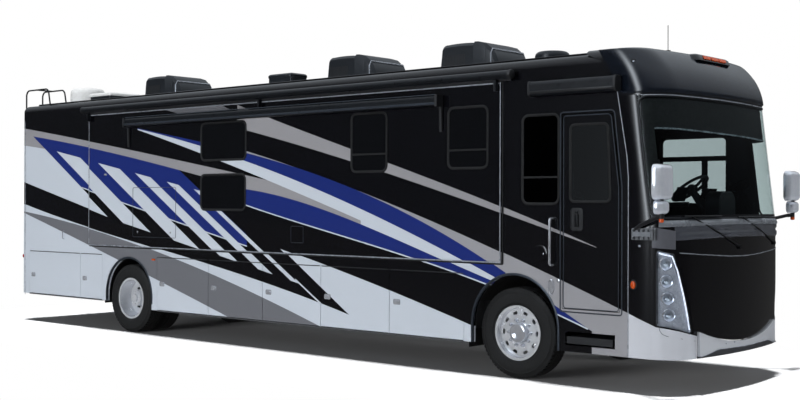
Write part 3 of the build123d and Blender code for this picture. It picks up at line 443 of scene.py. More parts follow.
def makeLens(name, colour, clear):
    sockets = {"Base_Color": colour, "IOR": 1.49, "Coat_Weight": 0.4, "Transmission_Weight": clear}
    material, tree, shader = startMaterial(name, **sockets)
    ribs = addNode(tree, "ShaderNodeTexWave", wave_profile="SIN", bands_direction="Z")
    ribs.inputs["Scale"].default_value = 40.0
    tree.links.new(objectPoint(tree), ribs.inputs["Vector"])
    tree.links.new(spread(tree, noise(tree, 80), 0.04, 0.12), shader.inputs["Roughness"])
    addBump(tree, shader, ribs.outputs["Fac"], 0.001, 0.5)
    return material


def mixShaders(tree, share, first, second):
    mix = addNode(tree, "ShaderNodeMixShader")
    if isinstance(share, float):
        mix.inputs[0].default_value = share
    else:
        tree.links.new(share, mix.inputs[0])
    tree.links.new(first, mix.inputs[1])
    tree.links.new(second, mix.inputs[2])
    return mix.outputs[0]


def showShader(tree, surface):
    output = next(node for node in tree.nodes if node.type == "OUTPUT_MATERIAL")
    tree.links.new(surface, output.inputs[0])


def makeCoverGlass(name, tint, index, film):
    # Thin clear cover: see-through, with a reflection that grows towards grazing from the film's share
    material, tree, shader = startMaterial(name, Base_Color=srgb(240, 244, 248), Metallic=1.0)
    tree.links.new(spread(tree, noise(tree, 2.0, 3.0), 0.01, 0.04), shader.inputs["Roughness"])
    clear = addNode(tree, "ShaderNodeBsdfTransparent")
    clear.inputs["Color"].default_value = tint
    fresnel = addNode(tree, "ShaderNodeFresnel")
    fresnel.inputs["IOR"].default_value = index
    facing = addNode(tree, "ShaderNodeNewGeometry")
    outside = mathNode(tree, "SUBTRACT", 1.0, facing.outputs["Backfacing"])
    share = mathNode(tree, "MULTIPLY", mathNode(tree, "MAXIMUM", fresnel.outputs[0], film), outside)
    showShader(tree, mixShaders(tree, share, clear.outputs[0], shader.outputs[0]))
    return material


membraneEdge = {"across": 1.06, "front": 4.7}


def makeRoofSkin():
    # White membrane on top, black paint down the rounded edges and over the front
    material, tree, shader = startMaterial("roofSkin", Coat_Weight=0.2, Coat_Roughness=0.05)
    along, across = objectAxes(tree)[:2]
    top = mathNode(tree, "LESS_THAN", mathNode(tree, "ABSOLUTE", across), membraneEdge["across"])
    top = mathNode(tree, "MULTIPLY", top, mathNode(tree, "LESS_THAN", along, membraneEdge["front"]))
    membrane = mixColour(tree, noise(tree, 5.0, 5.0), srgb(222, 224, 226), srgb(196, 199, 200))
    paint = mixColour(tree, noise(tree, 40.0), srgb(10, 10, 14), srgb(14, 14, 18))
    tree.links.new(mixColour(tree, top, paint, membrane), shader.inputs["Base Color"])
    tree.links.new(spread(tree, top, 0.22, 0.6, 0.0, 1.0), shader.inputs["Roughness"])
    addBump(tree, shader, noise(tree, 60, 3.0), 0.0005, 0.4)
    return material


def makeSideGlass():
    # Left of the driver the pane is clear, on the entry side it is darkened
    material, tree, shader = startMaterial("sideGlass", Base_Color=srgb(10, 11, 14), IOR=1.45)
    tree.links.new(spread(tree, noise(tree, 1.5, 3.0), 0.0, 0.02), shader.inputs["Roughness"])
    clear = addNode(tree, "ShaderNodeBsdfTransparent")
    left = mathNode(tree, "GREATER_THAN", objectAxes(tree)[1], 0.0)
    tree.links.new(mixColour(tree, left, srgb(96, 104, 112), srgb(224, 229, 230)), clear.inputs["Color"])
    showShader(tree, mixShaders(tree, 0.93, shader.outputs[0], clear.outputs[0]))
    return material


def makeLampGlow():
    sockets = {"Base_Color": srgb(240, 244, 250), "Roughness": 0.3, "Emission_Color": srgb(235, 242, 255)}
    material, tree, shader = startMaterial("lampGlow", **sockets)
    tree.links.new(spread(tree, noise(tree, 60, 2.0), 0.45, 0.6), shader.inputs["Emission Strength"])
    return material


plainPaints = {
    # name: colour, metallic
    "blackPaint": (srgb(4, 4, 8), 0.0),
    # grey of the cowl ridges: a painted highlight
    "slatePaint": (srgb(62, 65, 72), 0.0),
    # crown moulding in the slate of the painted sky reflection
    "crownPaint": (paintColours["slate"], 0.0),
    "silverBumper": (srgb(186, 190, 197), 0.2),
}
lensColours = {
    # name: colour, share of the light that passes
    "lampLens": (srgb(236, 240, 244), 0.9),
    "redLens": (srgb(150, 14, 12), 0.0),
    "amberLens": (srgb(186, 74, 24), 0.0),
}
coverGlasses = {
    # name: tint, refractive index, least reflection
    "coverGlass": (srgb(250, 252, 255), 1.45, 0.0),
    "screenGlass": (srgb(228, 234, 234), 1.25, 0.0),
    "smokedGlass": (srgb(170, 179, 186), 1.3, 0.3),
}

print("Mixing paint and finishes")
materials = {name: makeFinish(name) for name in finishes}
for make, table in ((makePlainPaint, plainPaints), (makeLens, lensColours), (makeCoverGlass, coverGlasses)):
    materials.update({name: make(name, *values) for name, values in table.items()})
materials.update(
    coachPaint=makeCoachPaint(),
    darkGlass=makeGlass("darkGlass", srgb(10, 11, 14), 0.0),
    clearGlass=makeGlass("clearGlass", srgb(232, 240, 240), 1.0),
    roofSkin=makeRoofSkin(),
    sideGlass=makeSideGlass(),
    lampGlow=makeLampGlow(),
)

slotFinishes = {
    "body_paint": "coachPaint",
    "roof_white": "roofMembrane",
    "chassis_black": "chassisBlack",
    "engine_grey": "engineGrey",
    "floor_grey": "floorVinyl",
    "bay_grey": "bayLiner",
    "clear_glass": "clearGlass",
    "tinted_glass": "darkGlass",
    "lamp_lens": "lampLens",
    "tail_lens": "redLens",
    "chrome_trim": "chrome",
    "wiper_black": "texturedPlastic",
    "roof_plastic": "roofPlastic",
    "alloy": "alloy",
    "awning_case": "awningCase",
    "dash_plastic": "dashPlastic",
    "seat_leather": "seatLeather",
    "step_black": "texturedPlastic",
    "tyre_rubber": "tyreRubber",
}
nodeFinishes = {
    # CAD nodes whose finish in the photo differs from their slot's usual one
    "ladder": "blackMetal",
    "windshield": "screenGlass",
    "entry_door_glass": "smokedGlass",
    "roof": "roofSkin",
    "coach_glass": "sideGlass",
    "wipers": "blackMetal",
    "front_axle": "chassisBlack",
}
for part in frame["record"]["subparts"]:
    node = cadNodes[part["node"]]
    finish = nodeFinishes.get(part["node"], slotFinishes[part["material_slot"]])
    node.data.materials.clear()
    node.data.materials.append(materials[finish])


slotOf = {finish: slot for slot, finish in slotFinishes.items()}
sharedSlots = {
    # slot: further finishes that its pieces may have
    "body_paint": (
        "blackPaint", "silverBumper", "cornerReflectionGrey", "shelfHighlightGrey", "valanceGrey", "slatePaint", "crownPaint",
    ),
    "roof_white": ("whitePlastic",),
    "wiper_black": ("rubber",),
    "awning_case": ("awningCloth", "trimDark"),
    "alloy": ("steel", "nutSteel"),
    "lamp_lens": ("lampGlow", "lampTray"),
    "tail_lens": ("amberLens",),
    "seat_leather": ("ceilingCloth",),
    "chrome_trim": ("trimSilver", "mirrorFace", "shellChrome"),
    "clear_glass": ("coverGlass", "screenGlass"),
    "chassis_black": ("blackMetal",),
}
for slot, names in sharedSlots.items():
    slotOf.update(dict.fromkeys(names, slot))


def finishPiece(name, mesh, finish, body="coach", replaced=(), angle=35.0, bevel=0.0, both=False):
    # Turns worked geometry, on one side or both, into a named piece that rides on a body
    if both:
        mirror(mesh)
    bmesh.ops.remove_doubles(mesh, verts=mesh.verts, dist=0.00005)
    bmesh.ops.recalc_face_normals(mesh, faces=mesh.faces)
    data = bpy.data.meshes.new(name)
    mesh.to_mesh(data)
    mesh.free()
    piece = addObject(name, data)
    data.materials.append(materials[finish])
    data.shade_smooth()
    data.set_sharp_from_angle(angle=math.radians(angle))
    if bevel:
        soften = piece.modifiers.new("soften", "BEVEL")
        soften.width = bevel
        soften.segments = 2
        soften.limit_method = "ANGLE"
        soften.angle_limit = math.radians(40)
    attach(piece, body)
    if replaced:
        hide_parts(*replaced)
    return piece


def joinRings(mesh, rings, closed=True):
    for first, second in zip(rings, rings[1:]):
        count = max(len(first), len(second))
        for i in range(count if closed else count - 1):
            j = (i + 1) % count
            pairs = ((first, i), (first, j), (second, j), (second, i))
            corners = list(dict.fromkeys(ring[k % len(ring)] for ring, k in pairs))
            if len(corners) > 2:
                mesh.faces.new(corners)


def addBlock(mesh, low, high):
    corners = bmesh.ops.create_cube(mesh, size=1.0)["verts"]
    for corner in corners:
        corner.co = [a + (b - a) * (share + 0.5) for a, b, share in zip(low, high, corner.co)]
    return corners


def addTurned(mesh, profile, centre, axis, segments=32):
    # Profile points are distance along the axis and radius
    turn = Vector(axis).to_track_quat("Z", "Y").to_matrix()
    rings = []
    for along, radius in profile:
        ring = []
        for i in range(segments if radius > 0 else 1):
            angle = 2 * math.pi * i / segments
            spot = Vector((radius * math.cos(angle), radius * math.sin(angle), along))
            ring.append(mesh.verts.new(turn @ spot + Vector(centre)))
        rings.append(ring)
    joinRings(mesh, rings)


def addTube(mesh, path, radius, segments=12, closed=False):
    path = [Vector(point) for point in path]
    count = len(path)
    rings = []
    side = None
    for i, point in enumerate(path):
        before = path[i - 1] if i or closed else point
        after = path[(i + 1) % count] if i + 1 < count or closed else point
        along = (after - before).normalized()
        if side is None:
            side = along.orthogonal().normalized()
        side = (side - along * side.dot(along)).normalized()
        other = along.cross(side)
        angles = [2 * math.pi * k / segments for k in range(segments)]
        spots = [point + (side * math.cos(a) + other * math.sin(a)) * radius for a in angles]
        rings.append([mesh.verts.new(spot) for spot in spots])
    if closed:
        joinRings(mesh, rings + [rings[0]])
    else:
        joinRings(mesh, rings)
        mesh.faces.new(reversed(rings[0]))
        mesh.faces.new(rings[-1])


def rounded(corners, radius, steps=5):
    # Outline with its corners rounded, counter-clockwise corners given
    outline = []
    count = len(corners)
    radii = radius if isinstance(radius, (list, tuple)) else [radius] * count
    for i in range(count):
        here = Vector(corners[i])
        before = (Vector(corners[i - 1]) - here).normalized()
        after = (Vector(corners[(i + 1) % count]) - here).normalized()
        half = before.angle(after) / 2
        if radii[i] <= 0 or half > 1.5:
            outline.append(here)
            continue
        centre = here + (before + after).normalized() * radii[i] / math.sin(half)
        start = here + before * radii[i] / math.tan(half) - centre
        sweep = math.pi - 2 * half
        turn = 1 if before.x * after.y - before.y * after.x < 0 else -1
        for step in range(steps + 1):
            angle = turn * sweep * step / steps
            cos, sin = math.cos(angle), math.sin(angle)
            outline.append(centre + Vector((start.x * cos - start.y * sin, start.x * sin + start.y * cos)))
    return outline


def rectangle(low, high, radius, steps=5):
    corners = [(low[0], low[1]), (high[0], low[1]), (high[0], high[1]), (low[0], high[1])]
    return rounded(corners, radius, steps)


def circle(centre, radius, segments=32, squeeze=1.0):
    across, up = centre
    angles = [2 * math.pi * i / segments for i in range(segments)]
    return [Vector((across + radius * math.cos(a), up + radius * squeeze * math.sin(a))) for a in angles]


def grown(outline, reach):
    # Outline moved outward by reach, or inward where it is negative
    count = len(outline)
    moved = []
    for i in range(count):
        first = (outline[i] - outline[i - 1]).normalized()
        second = (outline[(i + 1) % count] - outline[i]).normalized()
        normal = Vector((first.y + second.y, -first.x - second.x)).normalized()
        share = max(0.4, normal.dot(Vector((first.y, -first.x))))
        moved.append(outline[i] + normal * reach / share)
    return moved


def addSection(mesh, outline, section, place, filled=False):
    # Sweeps section, as reach outward and height, round an outline that place puts on a surface
    rings = []
    for reach, height in section:
        rings.append([mesh.verts.new(place(spot.x, spot.y, height)) for spot in grown(outline, reach)])
    if filled:
        joinRings(mesh, rings)
        mesh.faces.new(rings[-1])
        mesh.faces.new(reversed(rings[0]))
    else:
        joinRings(mesh, rings + [rings[0]])


def onSide(face, left=False):
    # Puts distance along, height and height off the side at y = face
    sign = 1 if left else -1
    return lambda x, z, out: Vector((x, sign * (face + out), z))


def onRoof(level):
    return lambda x, y, out: Vector((x, y, level + out))


def onEnd(face, outward=-1):
    # Puts distance across, height and height off a face that looks along the coach
    return lambda y, z, out: Vector((face + outward * out, y, z))


def mirror(mesh):
    # Adds the other side's copy of what is there
    copies = bmesh.ops.duplicate(mesh, geom=list(mesh.verts) + list(mesh.edges) + list(mesh.faces))["geom"]
    for item in copies:
        if isinstance(item, bmesh.types.BMVert):
            item.co.y = -item.co.y
    return mesh


def denser(path, parts):
    # Path with points added between its own
    path = [Vector(point) for point in path]
    points = []
    for first, second in zip(path, path[1:]):
        points += [first.lerp(second, k / parts) for k in range(parts)]
    return points + [path[-1]]


def bead(half, height=0.003):
    # Section of a low raised line
    return ((half, 0.0), (half - 0.001, height), (0.001 - half, height), (-half, 0.0))


def thicken(mesh, thickness):
    bmesh.ops.recalc_face_normals(mesh, faces=mesh.faces)
    bmesh.ops.solidify(mesh, geom=list(mesh.faces), thickness=thickness)


def makePads(name, finish, pads, filled=True, **rest):
    # Piece of swept sections, each an outline, its section and what places it
    mesh = bmesh.new()
    for outline, section, place in pads:
        addSection(mesh, outline, section, place, filled)
    finishPiece(name, mesh, finish, **rest)


def makeSeam(name, finish, path, radius, **rest):
    mesh = bmesh.new()
    addTube(mesh, path, radius, 8)
    finishPiece(name, mesh, finish, **rest)


def makeRepeatTree():
    # Copies of a piece, each a step and a turn on from the last
    tree = bpy.data.node_groups.new("repeatPiece", "GeometryNodeTree")
    sockets = {}
    wanted = (
        ("Geometry", "NodeSocketGeometry"),
        ("Count", "NodeSocketInt"),
        ("Step", "NodeSocketVector"),
        ("Turn", "NodeSocketVector"),
        ("Pivot", "NodeSocketVector"),
        ("Material", "NodeSocketMaterial"),
    )
    for name, kind in wanted:
        sockets[name] = tree.interface.new_socket(name, in_out="INPUT", socket_type=kind).identifier
    tree.interface.new_socket("Geometry", in_out="OUTPUT", socket_type="NodeSocketGeometry")
    start = tree.nodes.new("NodeGroupInput")
    points = tree.nodes.new("GeometryNodePoints")
    place = tree.nodes.new("GeometryNodeInstanceOnPoints")
    index = tree.nodes.new("GeometryNodeInputIndex")
    turnBy = addNode(tree, "ShaderNodeVectorMath", operation="SCALE")
    stepBy = addNode(tree, "ShaderNodeVectorMath", operation="SCALE")
    turn = tree.nodes.new("GeometryNodeRotateInstances")
    move = tree.nodes.new("GeometryNodeTranslateInstances")
    real = tree.nodes.new("GeometryNodeRealizeInstances")
    paint = tree.nodes.new("GeometryNodeSetMaterial")
    end = tree.nodes.new("NodeGroupOutput")
    turn.inputs["Local Space"].default_value = False
    move.inputs["Local Space"].default_value = False
    for source, target in (
        (start.outputs["Count"], points.inputs["Count"]),
        (points.outputs[0], place.inputs["Points"]),
        (start.outputs["Geometry"], place.inputs["Instance"]),
        (start.outputs["Turn"], turnBy.inputs[0]),
        (index.outputs[0], turnBy.inputs["Scale"]),
        (start.outputs["Step"], stepBy.inputs[0]),
        (index.outputs[0], stepBy.inputs["Scale"]),
        (place.outputs[0], turn.inputs[0]),
        (turnBy.outputs[0], turn.inputs["Rotation"]),
        (start.outputs["Pivot"], turn.inputs["Pivot Point"]),
        (turn.outputs[0], move.inputs[0]),
        (stepBy.outputs[0], move.inputs["Translation"]),
        (move.outputs[0], real.inputs[0]),
        (real.outputs[0], paint.inputs[0]),
        (start.outputs["Material"], paint.inputs["Material"]),
        (paint.outputs[0], end.inputs[0]),
    ):
        tree.links.new(source, target)
    return tree, sockets


repeatTree, repeatSockets = makeRepeatTree()


def repeatInto(target, mesh, finish, count, step=(0, 0, 0), turn=(0, 0, 0), pivot=(0, 0, 0)):
    # Adds the copies of one small shape to target
    data = bpy.data.meshes.new("repeat")
    mesh.to_mesh(data)
    mesh.free()
    seed = addObject("repeat", data)
    repeat = seed.modifiers.new("repeat", "NODES")
    repeat.node_group = repeatTree
    values = {"Count": count, "Step": step, "Turn": turn, "Pivot": pivot, "Material": materials[finish]}
    for name, value in values.items():
        repeat[repeatSockets[name]] = value
    plain = bpy.data.meshes.new_from_object(seed.evaluated_get(bpy.context.evaluated_depsgraph_get()))
    target.from_mesh(plain)
    bpy.data.objects.remove(seed)
    bpy.data.meshes.remove(plain)


tyreShape = {
    "halfWidth": 0.136,
    "shoulderHalf": 0.112,
    "grooves": (0.020, 0.068),
    "grooveWidth": 0.009,
    "grooveDepth": 0.013,
    "lugs": 64,
    "lugShare": 0.76,
    "segments": 96,
}
wheelTrim = {
    "studs": 10,
    "studCircle": 0.142,
    "frontDisc": 0.074,
    "frontCap": 0.11,
    "rearDisc": -0.066,
    "rearHubEnd": 0.04,
    "rearHub": 0.118,
    "hubBolts": 8,
    "hubBoltCircle": 0.09,
    "dualSpacing": 0.318,
}


def tyreProfile(radius):
    # Sidewall with two raised rings, then ribs and grooves up to the middle of the tread
    shape = tyreShape
    wide = shape["halfWidth"]
    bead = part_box("front_wheel_right")[1].z - radius - 0.016
    side = [
        (wide - 0.027, bead), (wide - 0.018, bead + 0.006), (wide - 0.011, bead + 0.022),
        (wide - 0.005, bead + 0.045), (wide - 0.002, bead + 0.047), (wide - 0.0015, bead + 0.054),
        (wide - 0.003, bead + 0.056), (wide, radius - 0.115), (wide - 0.001, radius - 0.09),
        (wide - 0.004, radius - 0.068), (wide - 0.002, radius - 0.064), (wide - 0.003, radius - 0.055),
        (wide - 0.007, radius - 0.05), (wide - 0.014, radius - 0.03),
        (shape["shoulderHalf"] + 0.006, radius - 0.017),
        (shape["shoulderHalf"], radius - 0.012),
        (shape["grooves"][1] + 0.012, radius - 0.0115),
    ]
    for middle in reversed(shape["grooves"]):
        half = shape["grooveWidth"] / 2
        top = radius - 0.0006 * (middle > 0.04)
        if middle < 0.04:
            side.append((middle + half + 0.001, top))
        else:
            side.append((middle + half + 0.0015, radius - 0.0115))
        side += [
            (middle + half, radius - shape["grooveDepth"]),
            (middle - half, radius - shape["grooveDepth"]),
            (middle - half - 0.001, top),
        ]
    return side + [(-along, reach) for along, reach in reversed(side)]


def addTyre(mesh, x, y, z, outward):
    shape = tyreShape
    addTurned(mesh, tyreProfile(z), (x, y, z), (0, outward, 0), shape["segments"])
    length = 2 * math.pi * z / shape["lugs"] * shape["lugShare"]
    for sign in (-1, 1):
        inner = y + sign * (shape["grooves"][1] + 0.008)
        outer = y + sign * (shape["shoulderHalf"] + 0.001)
        lug = bmesh.new()
        low, high = min(inner, outer), max(inner, outer)
        for corner in addBlock(lug, (x - length / 2, low, 2 * z - 0.016), (x + length / 2, high, 2 * z)):
            if corner.co.z > 2 * z - 0.001:
                corner.co.x = x + (corner.co.x - x) * 0.93
                corner.co.z -= 0.004 if abs(corner.co.y - outer) < 0.001 else 0.0012
        turn = (0, 2 * math.pi / shape["lugs"], 0)
        repeatInto(mesh, lug, "tyreRubber", shape["lugs"], turn=turn, pivot=(x, y, z))


def addStuds(mesh, centre, outward, profile, count, circleRadius, finish):
    nut = bmesh.new()
    spot = Vector(centre) + Vector((circleRadius, 0, 0))
    addTurned(nut, profile, spot, (0, outward, 0), 12)
    repeatInto(mesh, nut, finish, count, turn=(0, 2 * math.pi / count, 0), pivot=centre)


print("Dressing the wheels")
for side, outward in (("right", -1), ("left", 1)):
    middle = centreOf("front_tyre_" + side)
    treaded = bmesh.new()
    addTyre(treaded, middle.x, middle.y, middle.z, outward)
    tyreNode = "front_tyre_" + side
    finishPiece("treaded_" + tyreNode, treaded, "tyreRubber", "front_wheel_" + side, (tyreNode,), 30)

    disc = Vector((middle.x, middle.y + outward * wheelTrim["frontDisc"], middle.z))
    trim = bmesh.new()
    cap = wheelTrim["frontCap"]
    capProfile = [(-0.002, 0.118), (0.005, 0.118), (0.007, cap + 0.002), (0.05, cap), (0.061, cap - 0.008)]
    capProfile += [(0.0645, cap - 0.02), (0.065, 0.062), (0.061, 0.056), (0.061, 0.0)]
    addTurned(trim, capProfile, disc, (0, outward, 0), 48)
    nut = [(-0.002, 0.021), (0.007, 0.021), (0.009, 0.0165), (0.036, 0.0155), (0.043, 0.011), (0.045, 0.0)]
    addStuds(trim, disc, outward, nut, wheelTrim["studs"], wheelTrim["studCircle"], "chrome")
    valve = Vector((middle.x + 0.2, middle.y + outward * 0.078, middle.z - 0.12))
    addTube(trim, [valve, valve + Vector((0.028, outward * 0.03, -0.017))], 0.006, 8)
    finishPiece("hub_cap_front_" + side, trim, "chrome", "front_wheel_" + side)

    low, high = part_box("rear_tyre_" + side)
    pair = bmesh.new()
    x, z = (low.x + high.x) / 2, (low.z + high.z) / 2
    outerY = (low.y if outward < 0 else high.y) - outward * tyreShape["halfWidth"]
    innerY = outerY - outward * wheelTrim["dualSpacing"]
    addTyre(pair, x, outerY, z, outward)
    addTyre(pair, x, innerY, z, -outward)
    rearNode = "rear_tyre_" + side
    finishPiece("treaded_rear_tyres_" + side, pair, "tyreRubber", "rear_wheels_" + side, (rearNode,), 30)

    disc = Vector((x, outerY + outward * wheelTrim["rearDisc"], z))
    trim = bmesh.new()
    reach = wheelTrim["rearHubEnd"] - wheelTrim["rearDisc"]
    hub = wheelTrim["rearHub"]
    hubProfile = [(0.0, hub + 0.004), (reach - 0.012, hub + 0.002), (reach, hub - 0.006)]
    hubProfile += [(reach + 0.004, hub - 0.03), (reach + 0.004, 0.062)]
    hubProfile += [(reach + 0.03, 0.058), (reach + 0.036, 0.05), (reach + 0.036, 0.0)]
    addTurned(trim, hubProfile, disc, (0, outward, 0), 48)
    end = disc + Vector((0, outward * (reach + 0.003), 0))
    bolt = [(-0.002, 0.009), (0.009, 0.009), (0.011, 0.007), (0.011, 0.0)]
    addStuds(trim, end, outward, bolt, wheelTrim["hubBolts"], wheelTrim["hubBoltCircle"], "alloy")
    finishPiece("hub_cap_rear_" + side, trim, "alloy", "rear_wheels_" + side)
    nuts = bmesh.new()
    nut = [(-0.002, 0.024), (0.006, 0.024), (0.008, 0.0165), (0.034, 0.0165), (0.038, 0.012), (0.04, 0.0)]
    addStuds(nuts, disc, outward, nut, wheelTrim["studs"], wheelTrim["studCircle"], "nutSteel")
    finishPiece("wheel_nuts_rear_" + side, nuts, "nutSteel", "rear_wheels_" + side)


def islands(node):
    # Boxes of the solids in one CAD node, back to front
    mesh = bmesh.new()
    mesh.from_mesh(cadNodes[node].data)
    bmesh.ops.remove_doubles(mesh, verts=mesh.verts, dist=0.0001)
    found = []
    left = set(mesh.verts)
    while left:
        group = [left.pop()]
        for vert in group:
            for edge in vert.link_edges:
                other = edge.other_vert(vert)
                if other in left:
                    left.remove(other)
                    group.append(other)
        spots = [vert.co for vert in group]
        low = Vector([min(spot[axis] for spot in spots) for axis in range(3)])
        high = Vector([max(spot[axis] for spot in spots) for axis in range(3)])
        found.append((low, high))
    mesh.free()
    return sorted(found, key=lambda pair: pair[0].x)


windowFrames = {
    "radius": 0.075,
    "section": (
        (0.014, 0.0), (0.013, 0.006), (0.008, 0.009), (-0.008, 0.008), (-0.018, 0.002), (-0.018, 0.0),
    ),
    "barSection": ((0, 0), (0, 0.004), (-0.002, 0.006)),
    "barInset": 0.015,
    "barHalf": 0.011,
    "barShare": 0.3,
    "barPaneHeight": 0.6,
}
driverWindow = {
    # its bars: shares of the pane's height and length, and half widths
    "level": 0.68,
    "levelHalf": 0.03,
    "upright": 0.66,
    "uprightHalf": 0.04,
}


def windowFrame(mesh, low, high, place):
    outline = rectangle((low.x, low.z), (high.x, high.z), windowFrames["radius"])
    addSection(mesh, outline, windowFrames["section"], place)


def levelBar(low, high, share, half):
    # Corners of a bar across a pane, at this share of its height
    height = low.z + (high.z - low.z) * share
    inset = windowFrames["barInset"]
    return (low.x + inset, height - half), (high.x - inset, height + half)


def addBar(mesh, corners, place):
    addSection(mesh, rectangle(*corners, 0.002, 1), windowFrames["barSection"], place, True)


print("Framing the windows")
slideFaces = {}
for side, isLeft in (("right", False), ("left", True)):
    frames = bmesh.new()
    panes = islands("slide_glass_" + side)
    slideFaces[side] = max(abs(panes[0][0].y), abs(panes[0][1].y))
    place = onSide(slideFaces[side], isLeft)
    for low, high in panes:
        windowFrame(frames, low, high, place)
        if high.z - low.z > windowFrames["barPaneHeight"]:
            addBar(frames, levelBar(low, high, windowFrames["barShare"], windowFrames["barHalf"]), place)
    finishPiece("window_frames_slide_" + side, frames, "rubber", "slide_" + side, bevel=0.0015)

frames = bmesh.new()
for low, high in islands("coach_glass"):
    isLeft = low.y > 0
    windowFrame(frames, low, high, onSide(sideY, isLeft))
    bars = [levelBar(low, high, windowFrames["barShare"], windowFrames["barHalf"])]
    if isLeft:
        level = levelBar(low, high, driverWindow["level"], driverWindow["levelHalf"])
        middle = low.x + (high.x - low.x) * driverWindow["upright"]
        half = driverWindow["uprightHalf"]
        upright = ((middle - half, low.z + windowFrames["barInset"]), (middle + half, level[0][1]))
        bars = [level, upright]
    for bar in bars:
        addBar(frames, bar, onSide(sideY, isLeft))
finishPiece("window_frames_body", frames, "rubber", bevel=0.0015)

doorLow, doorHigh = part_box("entry_door")
paneLow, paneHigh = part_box("entry_door_glass")
doorShape = {
    "bendZ": 2.1,
    "topFront": doorHigh.x - 0.092,
    "radii": (0.03, 0.03, 0.12, 0.05, 0.03),
    "paneTopFront": paneHigh.x - 0.032,
    "paneRadius": 0.05,
    "recess": ((4.695, 1.655), (4.825, 1.875)),
    "recessSection": ((0.012, 0), (0.01, 0.006), (0.002, 0.008), (0, 0.002)),
    "gripSection": ((0, 0.002), (-0.002, 0.018), (-0.01, 0.022)),
    "lockSection": ((0, 0.002), (-0.002, 0.014), (-0.007, 0.015)),
    "frameSection": ((0.006, 0.0), (0.005, 0.004), (-0.006, 0.004), (-0.008, 0.0)),
}


def leaningOutline(low, high, topFront, radius, inset=0.0):
    # Outline from its back lower corner, its front edge leaning back above the door's bend
    corners = [
        (low.x + inset, low.z + inset),
        (high.x - inset, low.z + inset),
        (high.x - inset, doorShape["bendZ"]),
        (topFront - inset, high.z - inset),
        (low.x + inset, high.z - inset),
    ]
    return rounded(corners, radius)


print("Dressing the entry door")
place = onSide(-doorLow.y)
doorSize = (doorLow, doorHigh, doorShape["topFront"], doorShape["radii"])
edge = leaningOutline(*doorSize, 0.01)
makePads("door_edge_trim", "trimDark", [(edge, bead(0.005), place)], filled=False, body="entry_door")
pane = leaningOutline(paneLow, paneHigh, doorShape["paneTopFront"], doorShape["paneRadius"])
pads = [(pane, windowFrames["section"], place)]
makePads("door_window_frame", "rubber", pads, filled=False, body="entry_door", bevel=0.0015)
low, high = doorShape["recess"]
pads = [(rectangle(low, high, 0.025), doorShape["recessSection"], place)]
makePads("door_handle_recess", "texturedPlastic", pads, body="entry_door")
middle = (low[0] + high[0]) / 2
grip = rectangle((middle - 0.02, low[1] + 0.03), (middle + 0.026, high[1] - 0.05), 0.012)
lock = circle((middle, high[1] - 0.035), 0.016, 20)
pads = [(grip, doorShape["gripSection"], place), (lock, doorShape["lockSection"], place)]
makePads("door_handle", "blackMetal", pads, body="entry_door")
pads = [(leaningOutline(*doorSize, -0.03), doorShape["frameSection"], onSide(sideY))]
makePads("doorway_frame", "trimDark", pads, filled=False)

capSeams = {
    # distance along and height of the front and the rear seam
    "paths": (
        ((5.377, 0.375), (5.377, 2.2), (5.36, 2.42), (5.26, 3.0), (5.215, 3.26)),
        ((-5.875, 0.42), (-5.875, 1.8), (-5.885, 3.25)),
    ),
    "section": ((-0.006, -0.002), (-0.004, 0.0025), (0.004, 0.0025), (0.006, -0.002)),
}


def closeBand(mesh, rings):
    # Skin over rings with both ends closed
    joinRings(mesh, rings)
    mesh.faces.new(rings[0])
    mesh.faces.new(reversed(rings[-1]))


# silver lines along the cap seams: a painted highlight of the seams' edges
seam = bmesh.new()
for path in capSeams["paths"]:
    rings = []
    for spot in denser(path, 6):
        spots = [place(spot.x + across, spot.y, out) for across, out in capSeams["section"]]
        rings.append([seam.verts.new(point) for point in spots])
    closeBand(seam, rings)
finishPiece("cap_seam_highlights", seam, "trimSilver", both=True)

slideTrim = {
    "edge": 0.014,
    "section": ((0, -0.001), (0, 0.002), (-0.0015, 0.0035)),
    "sealWidth": 0.02,
}

print("Trimming the slide rooms")
for side, isLeft in (("right", False), ("left", True)):
    low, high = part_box("slide_room_" + side)
    place = onSide(slideFaces[side], isLeft)
    edge = slideTrim["edge"]
    bars = (
        ((low.x, low.z), (low.x + edge, high.z)),
        ((high.x - edge, low.z), (high.x, high.z)),
        ((low.x + edge, low.z), (high.x - edge, low.z + edge)),
        ((low.x + edge, high.z - edge), (high.x - edge, high.z)),
    )
    pads = [(rectangle(*bar, 0.002, 1), slideTrim["section"], place) for bar in bars]
    makePads("slide_edge_trim_" + side, "trimSilver", pads, body="slide_" + side)
    reach = slideTrim["sealWidth"]
    outline = rectangle((low.x - reach, low.z - reach), (high.x + reach, high.z + reach), 0.02, 3)
    section = ((0.0, 0.0), (-0.004, 0.012), (-reach + 0.004, 0.014), (-reach + 0.002, 0.0))
    pads = [(outline, section, onSide(sideY, isLeft))]
    makePads("slide_wall_seal_" + side, "rubber", pads, filled=False, bevel=0.001)

slideFittings = {
    # corners and radius of each panel, and the locks on the long one
    "panels": (((-2.92, 1.425), (-1.915, 2.148), 0.02), ((0.45, 1.42), (0.675, 1.63), 0.015)),
    "handle": ((-3.63, 2.335), (-3.57, 2.365), 0.01),
    "handleSection": ((0, 0), (-0.001, 0.012), (-0.006, 0.016)),
    "locks": ((-2.8, 1.5), (-2.03, 1.5)),
    "lockSection": ((0, 0.003), (-0.001, 0.009), (-0.005, 0.01)),
}
place = onSide(slideFaces["right"])
pads = [(rectangle(*panel), bead(0.004), place) for panel in slideFittings["panels"]]
makePads("slide_access_panels", "trimDark", pads, filled=False, body="slide_right")
pads = [(rectangle(*slideFittings["handle"]), slideFittings["handleSection"], place)]
pads += [(circle(spot, 0.014, 16), slideFittings["lockSection"], place) for spot in slideFittings["locks"]]
makePads("slide_panel_locks", "chrome", pads, body="slide_right")

